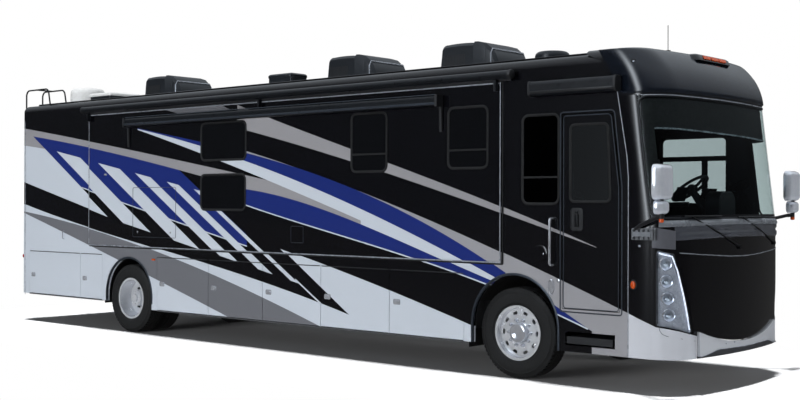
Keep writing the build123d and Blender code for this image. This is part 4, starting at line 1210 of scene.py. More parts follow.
fuelCover = {
    "middle": (4.3, 1.39),
    "radius": 0.098,
    "section": ((0, 0), (-0.002, 0.006), (-0.012, 0.01), (-0.03, 0.01)),
}
sideCatches = (
    # middle, half length, sides, height over length, section
    ((4.44, 1.04), 0.042, 32, 0.088 / 0.042, ((0, 0), (-0.002, 0.008), (-0.01, 0.012), (-0.016, 0.004))),
    ((4.53, 1.11), 0.022, 20, 1.0, ((0, 0), (-0.002, 0.006), (-0.008, 0.008))),
    ((4.345, 1.39), 0.01, 16, 1.0, ((0, 0), (-0.001, 0.014), (-0.003, 0.015))),
)
rearPull = {"x": -4.75, "path": ((0.002, 1.48), (0.03, 1.47), (0.03, 1.36), (0.002, 1.35)), "radius": 0.007}
place = onSide(sideY)
cover = circle(fuelCover["middle"], fuelCover["radius"], 40)
makePads("fuel_cover", "coachPaint", [(cover, fuelCover["section"], place)])
catches = bmesh.new()
for middle, half, sides, squeeze, section in sideCatches:
    addSection(catches, circle(middle, half, sides, squeeze), section, place, True)
addTube(catches, [place(rearPull["x"], z, out) for out, z in rearPull["path"]], rearPull["radius"], 8)
finishPiece("side_catches", catches, "chrome")

bayDetail = {
    "latchBack": 0.115,
    "latchZ": 0.755,
    "latchHalf": (0.052, 0.03),
    # how much larger than the latch, section
    "latchPads": (
        (0.0, ((0.004, 0), (0.003, 0.003), (-0.003, 0.004), (-0.006, 0.001), (-0.01, 0.001))),
        (-0.012, ((0, 0.001), (-0.001, 0.006), (-0.005, 0.009))),
    ),
    "hingeRadius": 0.006,
    "hingeInset": (0.02, 0.004),
}

print("Latching the luggage bays")
for name in cadNodes:
    if not name.startswith("bay_door_"):
        continue
    low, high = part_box(name)
    place = onSide(max(abs(low.y), abs(high.y)), low.y > 0)
    x, z = low.x + bayDetail["latchBack"], bayDetail["latchZ"]
    pads = []
    for reach, section in bayDetail["latchPads"]:
        wide, tall = [half + reach for half in bayDetail["latchHalf"]]
        pads.append((rectangle((x - wide, z - tall), (x + wide, z + tall), 0.015), section, place))
    makePads("latch_" + name, "chrome", pads, body=name)
    inset, drop = bayDetail["hingeInset"]
    path = [place(low.x + inset, high.z - drop, 0.0), place(high.x - inset, high.z - drop, 0.0)]
    makeSeam("hinge_" + name, "texturedPlastic", path, bayDetail["hingeRadius"], body=name)


def archTrim(mesh, x, radius, z, bottom, place):
    # Rolled lip round a wheel arch, open at the bottom
    angles = numpy.linspace(0, math.pi, 41)
    outline = [(x + radius, bottom)]
    outline += [(x + radius * math.cos(a), z + radius * math.sin(a)) for a in angles]
    outline.append((x - radius, bottom))
    rings = []
    for i, spot in enumerate(outline):
        first = Vector(outline[max(i - 1, 0)])
        second = Vector(outline[min(i + 1, len(outline) - 1)])
        along = (second - first).normalized()
        normal = Vector((along.y, -along.x))
        points = [(Vector(spot) + normal * reach, out) for reach, out in arches["section"]]
        rings.append([mesh.verts.new(place(point.x, point.y, out)) for point, out in points])
    closeBand(mesh, rings)


arches = {
    # centre along the coach, radius, centre height, bottom of the lip, angle left open under the well
    "front": (frontAxleX, 0.57, 0.575, wallLow.z, 0.45),
    "rear": (rearAxleX, 0.55, 0.55, 0.45, -0.25),
    "section": (
        (0.0, 0.0), (0.022, 0.0), (0.024, 0.004), (0.012, 0.009),
        (-0.002, 0.007), (-0.004, -0.02), (0.0, -0.02),
    ),
    "wellDepth": (1.225, 0.5),
    "wellGap": 0.004,
}
for name in ("front", "rear"):
    x, radius, z, bottom, spare = arches[name]
    lips = bmesh.new()
    for isLeft in (False, True):
        archTrim(lips, x, radius, z, bottom, onSide(sideY, isLeft))
    finishPiece("arch_lips_" + name, lips, "trimDark")
    liner = bmesh.new()
    around = radius + arches["wellGap"]
    angles = numpy.linspace(spare, math.pi - spare, 33)
    for sign in (-1, 1):
        rings = []
        for y in arches["wellDepth"]:
            spots = [(x + around * math.cos(a), sign * y, z + around * math.sin(a)) for a in angles]
            rings.append([liner.verts.new(spot) for spot in spots])
        joinRings(liner, rings, False)
    finishPiece("wheel_well_" + name, liner, "rubber")

stepDetail = {
    "outer": -1.235,
    "inner": -0.575,
    "sheet": 0.01,
    "drop": 0.032,
    "strips": 7,
    "stripPitch": 0.05,
    "stripWidth": 0.022,
    "stripInset": 0.03,
}
housing = bmesh.new()
low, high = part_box("entry_step")
outer, inner, sheet = stepDetail["outer"], stepDetail["inner"], stepDetail["sheet"]
floorZ = low.z - stepDetail["drop"]
addBlock(housing, (low.x - sheet, outer, floorZ), (high.x + sheet, inner - 0.045, floorZ + sheet))
addBlock(housing, (low.x - sheet, inner - 0.015, floorZ), (high.x + sheet, inner, high.z))
for x in (low.x - 2 * sheet, high.x + sheet):
    addBlock(housing, (x, outer, floorZ), (x + sheet, inner, high.z + 0.02))
finishPiece("step_housing", housing, "texturedPlastic", bevel=0.002)
strips = bmesh.new()
inset = stepDetail["stripInset"]
for i in range(stepDetail["strips"]):
    y = low.y + inset + i * stepDetail["stripPitch"]
    end = (high.x - inset, y + stepDetail["stripWidth"], high.z + 0.003)
    addBlock(strips, (low.x + inset, y, high.z - 0.001), end)
finishPiece("step_grip_strips", strips, "rubber", "entry_step")


nose = {
    # plan of the nose: bow, corners and the straight sides, and how far its tip moves back with height
    "bowCentre": 0.015,
    "bowRadius": 6.0,
    "cornerCentre": (5.588, 0.93),
    "cornerRadius": 0.35,
    "bowTurn": 0.16536,
    "leanHeights": (1.75, 3.08, 3.545),
    "leanBack": (0.0, 0.166, 0.44),
}


def nosePoint(reach, z, out=0.0):
    # reach is the distance round the nose from its middle, negative to the right
    bend = nose["bowRadius"] * nose["bowTurn"]
    turned = abs(reach)
    sign = -1 if reach < 0 else 1
    corner = (turned - bend) / nose["cornerRadius"] + nose["bowTurn"]
    back = float(numpy.interp(z, nose["leanHeights"], nose["leanBack"]))
    if turned <= bend:
        angle = turned / nose["bowRadius"]
        x = nose["bowCentre"] + (nose["bowRadius"] + out) * math.cos(angle)
        y = (nose["bowRadius"] + out) * math.sin(angle)
    elif corner <= math.pi / 2:
        x = nose["cornerCentre"][0] + (nose["cornerRadius"] + out) * math.cos(corner)
        y = nose["cornerCentre"][1] + (nose["cornerRadius"] + out) * math.sin(corner)
    else:
        x = nose["cornerCentre"][0] - (corner - math.pi / 2) * nose["cornerRadius"]
        y = nose["cornerCentre"][1] + nose["cornerRadius"] + out
    return Vector((x - back, sign * y, z))


def noseTurn(reach):
    # Direction off the nose there, level
    return (nosePoint(reach, 1.0, 1.0) - nosePoint(reach, 1.0)).normalized()


def columnSpan(outline, reach):
    hits = []
    for i, spot in enumerate(outline):
        other = outline[i - 1]
        if abs(spot.x - other.x) > 1e-6 and (spot.x - reach) * (other.x - reach) <= 1e-9:
            hits.append(other.y + (spot.y - other.y) * (reach - other.x) / (spot.x - other.x))
    return min(hits), max(hits)


def addPatch(mesh, outline, place, out, thick=0.002, columns=24, rows=6):
    # Curved sheet inside an outline, built in columns
    start, end = min(spot.x for spot in outline), max(spot.x for spot in outline)
    stations = {round(start + (end - start) * i / columns, 5) for i in range(1, columns)}
    stations |= {round(spot.x, 5) for spot in outline if start + 1e-4 < spot.x < end - 1e-4}
    stations = [start + 1e-5] + sorted(stations) + [end - 1e-5]
    rings = []
    for reach in stations:
        low, high = columnSpan(outline, reach)
        heights = [low + (high - low) * k / rows for k in range(rows + 1)]
        rings.append([mesh.verts.new(place(reach, height, out)) for height in heights])
    faces = set(mesh.faces)
    joinRings(mesh, rings, False)
    made = [face for face in mesh.faces if face not in faces]
    bmesh.ops.remove_doubles(mesh, verts=[vert for ring in rings for vert in ring], dist=0.0001)
    made = [face for face in made if face.is_valid]
    bmesh.ops.recalc_face_normals(mesh, faces=made)
    bmesh.ops.solidify(mesh, geom=made, thickness=thick)


def outlineOf(*corners):
    return [Vector(corner) for corner in corners]


def flipped(outline):
    # Other half of an outline, met from its end
    return [Vector((-spot.x, spot.y)) for spot in reversed(outline)]


def makePatch(name, finish, outline, out, thick, parts=(24, 6), place=nosePoint, angle=50, **rest):
    mesh = bmesh.new()
    addPatch(mesh, outline, place, out, thick, *parts)
    finishPiece(name, mesh, finish, angle=angle, **rest)


headlamp = {
    "lamps": ((-1.291, 1.329), (-1.283, 1.154), (-1.269, 0.985), (-1.256, 0.817)),
    "lampRadius": 0.062,
    "trayDepth": 0.03,
    "traySection": ((0.0, 0.0), (-0.003, -0.004), (-0.008, -0.03), (0.004, -0.036), (0.004, -0.002)),
    "gasket": ((0.009, -0.002), (0.008, 0.002), (-0.003, 0.0015), (-0.004, -0.004)),
    "strip": (
        (-1.36, 1.438), (-1.222, 1.405), (-1.165, 1.27), (-1.09, 1.0), (-1.022, 0.735), (-1.008, 0.665),
    ),
    "stripRadius": 0.009,
}
lampOutline = rounded([(-1.381, 0.71), (-0.99, 0.62), (-1.21, 1.43), (-1.381, 1.468)], 0.025, 4)

print("Building the headlamps")
tray = bmesh.new()
addSection(tray, lampOutline, headlamp["traySection"], nosePoint)
addPatch(tray, grown(lampOutline, -0.006), nosePoint, -headlamp["trayDepth"], 0.004)
finishPiece("headlamp_trays", tray, "lampTray", replaced=("headlamps",), both=True)
bowls = bmesh.new()
lenses = bmesh.new()
radius = headlamp["lampRadius"]
bowl = [(0.002, radius + 0.008), (0.019, radius + 0.006), (0.021, radius), (0.017, radius - 0.004)]
bowl += [(0.008, radius * 0.72), (0.003, radius * 0.5), (0.001, 0.0)]
lens = [(0.0, radius * 0.5), (0.012, radius * 0.5), (0.017, radius * 0.44)]
lens += [(0.021, radius * 0.26), (0.023, 0.0)]
for reach, z in headlamp["lamps"]:
    middle = nosePoint(reach, z, 0.001 - headlamp["trayDepth"])
    aim = (noseTurn(reach) + Vector((0.35, 0, 0))).normalized()
    addTurned(bowls, bowl, middle, aim, 32)
    addTurned(lenses, lens, middle, aim, 24)
finishPiece("headlamp_bowls", bowls, "chrome", both=True)
finishPiece("headlamp_lenses", lenses, "clearGlass", both=True)
path = [nosePoint(reach, z, -0.014) for reach, z in headlamp["strip"]]
makeSeam("headlamp_light_strips", "lampGlow", path, headlamp["stripRadius"], both=True)
makePatch("headlamp_covers", "coverGlass", grown(lampOutline, -0.002), -0.003, 0.0015, both=True, angle=35)
pads = [(lampOutline, headlamp["gasket"], nosePoint)]
makePads("headlamp_gaskets", "rubber", pads, filled=False, both=True)

print("Covering the nose")
maskShape = {
    "half": 0.962,
    "bottomMiddle": 0.497,
    "bottomEnd": 0.664,
    "top": ((1.172, 1.43), (1.16, 1.455), (0.854, 1.43), (0.285, 1.389), (0.0, 1.38)),
    "edge": ((0.0, 0.285, 0.854, 1.16), (1.384, 1.389, 1.42, 1.442)),
    "wiperPanel": ((0.0, 1.395), (0.285, 1.404), (0.854, 1.445), (1.05, 1.462), (1.062, 1.6), (0.0, 1.6)),
    "cowlCorner": ((-1.425, 1.49), (-1.19, 1.475), (-1.19, 1.66), (-1.425, 1.7)),
}


def maskBottom(reach):
    rise = maskShape["bottomEnd"] - maskShape["bottomMiddle"]
    return maskShape["bottomMiddle"] + rise * (reach / maskShape["half"]) ** 2


stations = numpy.linspace(-maskShape["half"], maskShape["half"], 33)
lower = [Vector((reach, maskBottom(reach))) for reach in stations]
upper = outlineOf(*maskShape["top"])
outline = lower + upper + flipped(upper[:-1])
makePatch("nose_mask", "blackPaint", outline, 0.005, 0.004, (72, 10))
# silver line along the mask's top: a painted highlight of its seam
path = []
for reach in numpy.linspace(-1.15, 1.15, 61):
    path.append(nosePoint(reach, float(numpy.interp(abs(reach), *maskShape["edge"])), 0.004))
makeSeam("nose_mask_edge_highlight", "trimSilver", path, 0.0045)
panel = outlineOf(*maskShape["wiperPanel"])
makePatch("wiper_panel", "blackPaint", panel + flipped(panel[1:-1]), 0.004, 0.003, (60, 3))
# grey sheets on the nose corners: a painted reflection
corner = outlineOf(*maskShape["cowlCorner"])
makePatch("cowl_corner_reflections", "cornerReflectionGrey", corner, 0.003, 0.002, (16, 4), both=True)

noseBands = (
    # name, finish, sharp angle, half length, steps, rise of the ends, length that fades, heights and reaches
    # ridges painted grey: a painted highlight on them
    ("cowl_ridges", "slatePaint", 50, 1.2, 72, -0.02, 0.12, (
        (1.585, 0.002), (1.6, 0.012), (1.622, 0.018), (1.645, 0.016), (1.66, 0.004),
        (1.675, 0.003), (1.69, 0.014), (1.715, 0.016), (1.745, 0.004),
    )),
    # shelf in light grey: a painted reflection under the windscreen
    ("cowl_shelf", "shelfHighlightGrey", 50, 1.36, 72, -0.02, 0.12, (
        (1.716, 0.002), (1.722, 0.02), (1.742, 0.024), (1.772, 0.014), (1.786, 0.003),
    )),
    # crown moulding, coloured with the painted sky reflection
    ("cap_crown", "crownPaint", 60, 1.62, 100, 0.0, 0.62, (
        (3.062, -0.002), (3.058, 0.012), (3.07, 0.02), (3.11, 0.033), (3.16, 0.05),
        (3.21, 0.063), (3.26, 0.072), (3.31, 0.076), (3.36, 0.073), (3.41, 0.064),
        (3.45, 0.052), (3.49, 0.036), (3.515, 0.02), (3.53, 0.004),
    )),
)
for name, finish, angle, ends, steps, flare, fade, profile in noseBands:
    # moulding that runs round the nose
    band = bmesh.new()
    rings = []
    for i in range(steps + 1):
        reach = -ends + 2 * ends * i / steps
        taper = min(1.0, (ends - abs(reach)) / fade)
        taper = taper * taper * (3 - 2 * taper)
        rise = flare * (reach / ends) ** 2
        outer = [nosePoint(reach, z + rise, out * taper) for z, out in profile]
        inner = [nosePoint(reach, z + rise, -0.004) for z, out in (profile[-1], profile[0])]
        rings.append([band.verts.new(spot) for spot in outer + inner])
    closeBand(band, rings)
    finishPiece(name, band, finish, angle=angle)
# silver line under the crown: a painted highlight of the windscreen rubber's top edge
path = [nosePoint(-1.4 + 2.8 * i / 60, 3.034, 0.004) for i in range(61)]
makeSeam("cap_lip_highlight", "trimSilver", path, 0.0055, angle=50)

bumper = {
    "crease": ((0.0, 0.55, 0.62, 0.8, 0.87, 0.93), (0.43, 0.44, 0.436, 0.4, 0.39, 0.39)),
    "bottom": 0.366,
    "half": 0.9,
    "steps": 72,
    "lip": ((0.004, 0.043), (0.003, 0.047), (-0.003, 0.047), (-0.004, 0.042)),
    "cornerSeam": (
        (-1.352, 0.7), (-1.346, 0.66), (-1.32, 0.625), (-1.27, 0.605), (-1.12, 0.58), (-0.93, 0.548),
    ),
    "buttons": (-0.42, -0.25),
}
skin = bmesh.new()
lip = bmesh.new()
valance = bmesh.new()
bands = ([], [], [])
for i in range(bumper["steps"] + 1):
    reach = -bumper["half"] + 2 * bumper["half"] * i / bumper["steps"]
    crease = float(numpy.interp(abs(reach), *bumper["crease"]))
    top = maskBottom(reach) - 0.005
    bottom = bumper["bottom"]
    upper = [(top, 0.031), (top - 0.006, 0.034), (crease + 0.02, 0.036), (crease + 0.006, 0.044)]
    upper += [(crease, 0.044), (crease, -0.004), (top, -0.004)]
    edge = [(crease + z, out) for z, out in bumper["lip"]]
    lower = [(crease, 0.041), (crease - 0.012, 0.024), (bottom + 0.01, 0.014), (bottom, 0.004)]
    lower += [(bottom, -0.004), (crease, -0.004)]
    for mesh, rings, profile in zip((skin, lip, valance), bands, (upper, edge, lower)):
        rings.append([mesh.verts.new(nosePoint(reach, z, out)) for z, out in profile])
for mesh, rings in zip((skin, lip, valance), bands):
    closeBand(mesh, rings)
finishPiece("bumper_skin", skin, "silverBumper", replaced=("front_bumper",))
finishPiece("bumper_crease", lip, "trimSilver")
finishPiece("bumper_valance", valance, "valanceGrey")
path = [nosePoint(reach, z, 0.0) for reach, z in bumper["cornerSeam"]]
makeSeam("bumper_corner_seams", "trimDark", path, 0.0028, both=True)
dots = bmesh.new()
for reach in bumper["buttons"]:
    button = [(-0.01, 0.011), (0.004, 0.011), (0.006, 0.008), (0.006, 0.0)]
    addTurned(dots, button, nosePoint(reach, 0.492, 0.034), noseTurn(reach), 16)
finishPiece("bumper_buttons", dots, "trimSilver")

noseLights = {
    # side marker's middle and half sizes, reach of the light in the cap and of the one on the cowl
    "marker": ((-1.632, 1.11), 0.03, 0.042),
    "cap": -1.309,
    "cowl": -1.56,
}
middle, wide, tall = noseLights["marker"]
lens = circle(middle, wide, 24, tall / wide)
section = ((0, 0), (-0.003, 0.014), (-0.01, 0.019), (-0.02, 0.021))
makePads("side_marker_lenses", "amberLens", [(lens, section, nosePoint)], both=True)
rims = bmesh.new()
addSection(rims, lens, ((0.014, 0.0), (0.012, 0.01), (0.0, 0.012), (0.0, 0.0)), nosePoint)
capReach, cowlReach = noseLights["cap"], noseLights["cowl"]
capLight = nosePoint(capReach, 3.379, 0.026)
capTurn = noseTurn(capReach)
addTurned(rims, [(-0.02, 0.03), (0.004, 0.028), (0.008, 0.022), (0.003, 0.016)], capLight, capTurn, 24)
finishPiece("side_marker_rims", rims, "rubber", both=True)
glow = bmesh.new()
addTurned(glow, [(0.0, 0.015), (0.005, 0.014), (0.008, 0.008), (0.009, 0.0)], capLight, capTurn, 20)
cowlLight = nosePoint(cowlReach, 1.505, 0.008)
addTurned(glow, [(0.0, 0.013), (0.008, 0.012), (0.01, 0.0)], cowlLight, noseTurn(cowlReach), 16)
finishPiece("cap_lights", glow, "trimSilver", both=True)

pod = {
    "x": (5.4, 5.7),
    "halfWidth": 0.42,
    "z": 3.492,
    "section": ((0.0, -0.03), (-0.02, 0.02), (-0.05, 0.038), (-0.08, 0.03)),
    "lamps": (-0.18, 0.0, 0.18),
    "lampHalf": 0.082,
}
back, front = pod["x"]
outline = rectangle((back, -pod["halfWidth"]), (front, pod["halfWidth"]), 0.09)
makePads("marker_pod", "blackPaint", [(outline, pod["section"], onRoof(pod["z"]))], angle=50)
amber = bmesh.new()
for y in pod["lamps"]:
    low = (front - 0.045, y - pod["lampHalf"], pod["z"] - 0.012)
    high = (front + 0.004, y + pod["lampHalf"], pod["z"] + 0.026)
    for corner in addBlock(amber, low, high):
        if corner.co.z > pod["z"] + 0.02:
            corner.co.x -= 0.018
finishPiece("marker_pod_lamps", amber, "amberLens", bevel=0.006)

pillar = {
    "frontEdge": 1.44,
    "bottom": 0.42,
    "top": 3.04,
    "crown": 0.009,
    # the cap's seam: heights and places along the coach
    "seam": ((2.2, 2.42, 3.0, 3.26), (5.39, 5.373, 5.273, 5.228)),
}


def pillarPlace(share, z, out):
    # share runs from -1 at the front edge to 1 at the cap's seam
    seamX = float(numpy.interp(z, *pillar["seam"]))
    lean = float(numpy.interp(z, nose["leanHeights"], nose["leanBack"]))
    turned = nose["cornerRadius"] * (math.pi / 2 - nose["bowTurn"]) + nose["bowRadius"] * nose["bowTurn"]
    back = turned + nose["cornerCentre"][0] - lean - seamX
    middle = (pillar["frontEdge"] + back) / 2
    half = (back - pillar["frontEdge"]) / 2
    return nosePoint(-middle - share * half, z, out + pillar["crown"] * (1 - share * share))


bottom, top = pillar["bottom"], pillar["top"]
outline = outlineOf((-1.0, bottom), (1.0, bottom), (1.0, top), (-1.0, top))
makePatch("corner_pillar_skins", "coachPaint", outline, 0.001, 0.002, (14, 40), pillarPlace, both=True)

print("Hanging the mirrors")
mirrorPlan = {
    # low and high corners across and up and the corners' radius
    "shells": (((-1.695, 1.972), (-1.385, 2.32), 0.06), ((-1.66, 1.83), (-1.46, 1.968), 0.045)),
    "x": (5.862, 5.955),
    # inset of each ring of a shell and its share of the depth
    "shell": (
        (-0.012, 0.0), (0.0, 0.086), (0.0, 0.45), (-0.01, 0.78), (-0.024, 0.93), (-0.04, 1.0), (-0.043, 1.0),
    ),
    "glass": ((0, 0.002), (0.0, -0.002), (-0.002, -0.003)),
    "arm": ((5.475, -1.298, 1.68), (5.56, -1.36, 1.715), (5.72, -1.45, 1.765), (5.86, -1.545, 1.805)),
    "post": (5.905, -1.56),
    "bracket": ((5.42, 1.565), (5.695, 1.685), 0.012),
    "hinges": (5.445, 5.5, 5.555, 5.61, 5.665),
}
back, front = mirrorPlan["x"]
depth = front - back
place = onEnd(back, 1)
outlines = [rectangle(*shell) for shell in mirrorPlan["shells"]]
section = [(inset, depth * share) for inset, share in mirrorPlan["shell"]]
pads = [(outline, section, place) for outline in outlines]
makePads("mirror_shells", "shellChrome", pads, both=True, replaced=("mirrors",))
pads = [(grown(outline, -0.016), mirrorPlan["glass"], place) for outline in outlines]
makePads("mirror_glasses", "mirrorFace", pads, both=True)
arms = bmesh.new()
x, y = mirrorPlan["post"]
addTube(arms, denser(mirrorPlan["arm"], 4), 0.02, 12)
addTube(arms, [(x, y, 1.785), (x, y, 2.0)], 0.024, 16)
addTube(arms, [(x - 0.055, y + 0.02, 1.802), (x + 0.005, y - 0.002, 1.808)], 0.022, 12)
finishPiece("mirror_arms", arms, "texturedPlastic", both=True)
feet = bmesh.new()
section = ((0, 0), (0, 0.012), (-0.004, 0.016))
addSection(feet, rectangle(*mirrorPlan["bracket"]), section, onSide(sideY), True)
for hingeX in mirrorPlan["hinges"]:
    pin = [(0.0, 0.016), (0.1, 0.016), (0.106, 0.01), (0.106, 0.0)]
    addTurned(feet, pin, (hingeX, -sideY - 0.026, 1.572), (0, 0, 1), 12)
addBlock(feet, (5.45, -sideY - 0.05, 1.6), (5.66, -sideY - 0.012, 1.65))
finishPiece("mirror_brackets", feet, "steel", bevel=0.002, both=True)
amber = bmesh.new()
lens = [(0.0, 0.022), (0.006, 0.024), (0.034, 0.024), (0.04, 0.016), (0.041, 0.0)]
addTurned(amber, lens, (x, y, 1.79), (0, 0, -1), 16)
finishPiece("mirror_markers", amber, "amberLens", both=True)

print("Glazing the windscreen")
windscreen = {
    "corners": ((-1.43, 1.79), (1.43, 3.018)),
    "rubber": ((0.016, -0.002), (0.014, 0.006), (0.004, 0.009), (-0.006, 0.004), (-0.007, -0.004)),
    "pillarCover": ((-1.43, 1.8), (-1.3, 1.8), (-1.3, 3.0), (-1.43, 3.0)),
    "visor": ((-1.405, 2.7), (1.405, 2.65), (1.405, 3.0), (-1.405, 3.0)),
}
outline = rectangle(*windscreen["corners"], 0.09, 6)
dense = []
for i, spot in enumerate(outline):
    other = outline[(i + 1) % len(outline)]
    parts = max(1, int((other - spot).length / 0.05))
    dense += [spot.lerp(other, k / parts) for k in range(parts)]
pads = [(dense, windscreen["rubber"], nosePoint)]
makePads("windscreen_rubber", "awningCase", pads, filled=False, angle=50)
outline = outlineOf(*windscreen["pillarCover"])
makePatch("windscreen_pillar_cover", "ceilingCloth", outline, -0.02, 0.004, (8, 8))
makePatch("windscreen_visor", "ceilingCloth", outlineOf(*windscreen["visor"]), -0.03, 0.004, (60, 8))
path = [nosePoint(-1.4 + 2.8 * i / 40, 2.7 - 0.05 * i / 40, -0.032) for i in range(41)]
makeSeam("windscreen_visor_edge", "trimSilver", path, 0.009)

print("Dressing the roof and awnings")
conditioners = islands("roof_air_conditioners")
grilles = bmesh.new()
fronts = bmesh.new()
for low, high in conditioners:
    span = high.x - low.x
    wide = high.y
    fin = bmesh.new()
    addBlock(fin, (low.x - 0.004, -wide + 0.06, low.z + 0.06), (low.x + 0.03, wide - 0.06, low.z + 0.068))
    repeatInto(grilles, fin, "texturedPlastic", 10, step=(0.002, 0, 0.019))
    for sign in (-1, 1):
        slot = bmesh.new()
        y = sign * (wide - 0.002)
        y0, y1 = sorted((y, y + sign * 0.006))
        addBlock(slot, (low.x + 0.1, y0, low.z + 0.06), (low.x + 0.112, y1, high.z - 0.14))
        repeatInto(grilles, slot, "texturedPlastic", 14, step=(0.024, 0, 0))
    rows = []
    for share, height in ((0.6, 1.0), (0.66, 0.995), (0.8, 0.9), (0.9, 0.7), (0.985, 0.2), (0.99, 0.02)):
        x = low.x + span * share
        top = low.z + (high.z - low.z) * (height - 0.02) + 0.012
        edge = wide - 0.03
        half = [(wide + 0.004, low.z + 0.02), (wide + 0.004, top - 0.05), (edge, top)]
        spots = [(-y, z) for y, z in half] + half[::-1]
        rows.append([fronts.verts.new((x, y, max(z, low.z + 0.02))) for y, z in spots])
    joinRings(fronts, rows, False)
thicken(fronts, 0.006)
finishPiece("conditioner_grilles", grilles, "texturedPlastic")
finishPiece("conditioner_front_covers", fronts, "roofPlastic", angle=50, bevel=0.004)
seams = bmesh.new()
for low, high in conditioners:
    x = low.x + (high.x - low.x) * 0.9
    top = low.z + (high.z - low.z) * 0.68 + 0.02
    half = [(high.y + 0.006, low.z + 0.02), (high.y + 0.006, top - 0.06), (high.y - 0.03, top)]
    path = [(x, -y, z) for y, z in half] + [(x, y, z) for y, z in half[::-1]]
    addTube(seams, path, 0.008, 8)
finishPiece("conditioner_seams", seams, "trimSilver")

roofFits = islands("roof_fittings")
roofLow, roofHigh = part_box("roof")
roofTrim = {
    "sealant": ((0.0, -0.02), (0.0, 0.004), (-0.012, 0.008), (-0.03, 0.008)),
    "sealantWidth": 0.035,
    "lid": ((0.0, -0.03), (0.0, 0.0), (-0.02, 0.018), (-0.045, 0.024), (-0.048, 0.024)),
    "lidSpare": 0.012,
    "railWidth": 0.03,
    "rail": ((0.0, -0.03), (0.0, 0.006), (-0.004, 0.01)),
}


def around(low, high, spare, radius):
    # Plan of a box, this much wider all round
    return rectangle((low.x - spare, low.y - spare), (high.x + spare, high.y + spare), radius)


place = onRoof(roofHigh.z - 0.002)
boxes = conditioners + roofFits[:4]
pads = [(around(*box, roofTrim["sealantWidth"], 0.06), roofTrim["sealant"], place) for box in boxes]
makePads("roof_sealant", "whitePlastic", pads, filled=False)
for name, finish, box in zip(("rear", "small"), ("whitePlastic", "roofPlastic"), roofFits[1:3]):
    pads = [(around(*box, roofTrim["lidSpare"], 0.05), roofTrim["lid"], onRoof(box[1].z))]
    makePads("roof_lid_" + name, finish, pads)
low, high = roofFits[0]
dome = bmesh.new()
radius = (high.y - low.y) / 2 + 0.006
tall = high.z - low.z + 0.006
domeProfile = [(0.0, radius), (tall - 0.09, radius), (tall - 0.05, radius - 0.008)]
domeProfile += [(tall - 0.02, radius - 0.026), (tall - 0.006, radius - 0.055)]
domeProfile += [(tall, radius - 0.09), (tall, 0.0)]
addTurned(dome, domeProfile, ((low.x + high.x) / 2, (low.y + high.y) / 2, low.z), (0, 0, 1), 48)
finishPiece("satellite_dome", dome, "whitePlastic", angle=50)
pads = []
for sign in (-1, 1):
    inner = sign * membraneEdge["across"]
    y0, y1 = sorted((inner, inner + sign * roofTrim["railWidth"]))
    outline = rectangle((roofLow.x + 0.1, y0), (roofHigh.x - 0.1, y1), 0.004, 1)
    pads.append((outline, roofTrim["rail"], onRoof(roofHigh.z - 0.012)))
makePads("roof_edge_rails", "blackPaint", pads)

rollers = islands("slide_awnings")
ends = bmesh.new()
topper = max(rollers, key=lambda pair: pair[1].z)
patio = min(rollers, key=lambda pair: pair[1].z)
y = -1.31 - 0.05
for x, outward in ((topper[0].x, -1), (topper[1].x, 1)):
    profile = [(-0.03, 0.052), (0.006, 0.054), (0.014, 0.05), (0.018, 0.036), (0.018, 0.0)]
    addTurned(ends, profile, (x, y, topper[1].z - 0.048), (outward, 0, 0), 32)
for x, outward in ((patio[0].x, -1), (patio[1].x, 1)):
    low, high = (x - 0.03, x + 0.008) if outward > 0 else (x - 0.008, x + 0.03)
    addBlock(ends, (low, patio[0].y - 0.008, patio[0].z - 0.012), (high, -1.31, patio[1].z + 0.01))
    for corner in addBlock(ends, (low, -1.345, patio[0].z - 0.3), (high, -1.31, patio[0].z)):
        if corner.co.z < patio[0].z - 0.1:
            corner.co.y = max(corner.co.y, -1.332)
finishPiece("awning_end_caps", ends, "texturedPlastic", "slide_right", bevel=0.004)
lead = bmesh.new()
x0, x1 = patio[0].x + 0.03, patio[1].x - 0.03
outline = rectangle((x0, patio[0].z + 0.012), (x1, patio[0].z + 0.04), 0.004, 2)
addSection(lead, outline, ((0, -0.004), (0, 0.006), (-0.003, 0.009)), onSide(-patio[0].y), True)
for z in (patio[1].z + 0.012, patio[0].z + 0.02):
    addTube(lead, [(x0, patio[0].y + 0.02, z), (x1, patio[0].y + 0.02, z)], 0.006, 8)
finishPiece("patio_lead_rail", lead, "trimDark", "slide_right")
cloth = bmesh.new()
rings = []
for x in numpy.linspace(topper[0].x + 0.03, topper[1].x - 0.03, 41):
    spots = []
    for share in numpy.linspace(0, 1, 9):
        sag = 0.012 * math.sin(math.pi * share)
        spots.append(cloth.verts.new((x, -1.375 + 0.062 * share, topper[1].z - 0.012 - 0.1 * share - sag)))
    rings.append(spots)
joinRings(cloth, rings, False)
thicken(cloth, 0.0015)
finishPiece("topper_skirt", cloth, "awningCloth", "slide_right")
low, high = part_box("door_awning")
door = bmesh.new()
for x, outward in ((low.x, -1), (high.x, 1)):
    outline = rectangle((low.y - 0.004, low.z - 0.004), (-sideY + 0.002, high.z + 0.004), 0.04)
    addSection(door, outline, ((0, -0.02), (0, 0.006), (-0.006, 0.012)), onEnd(x, outward), True)
rail = rectangle((low.x + 0.02, low.z + 0.02), (high.x - 0.02, low.z + 0.05), 0.004, 2)
addSection(door, rail, ((0, -0.004), (0, 0.006), (-0.003, 0.008)), onSide(-low.y), True)
finishPiece("door_awning_ends", door, "texturedPlastic", bevel=0.003)

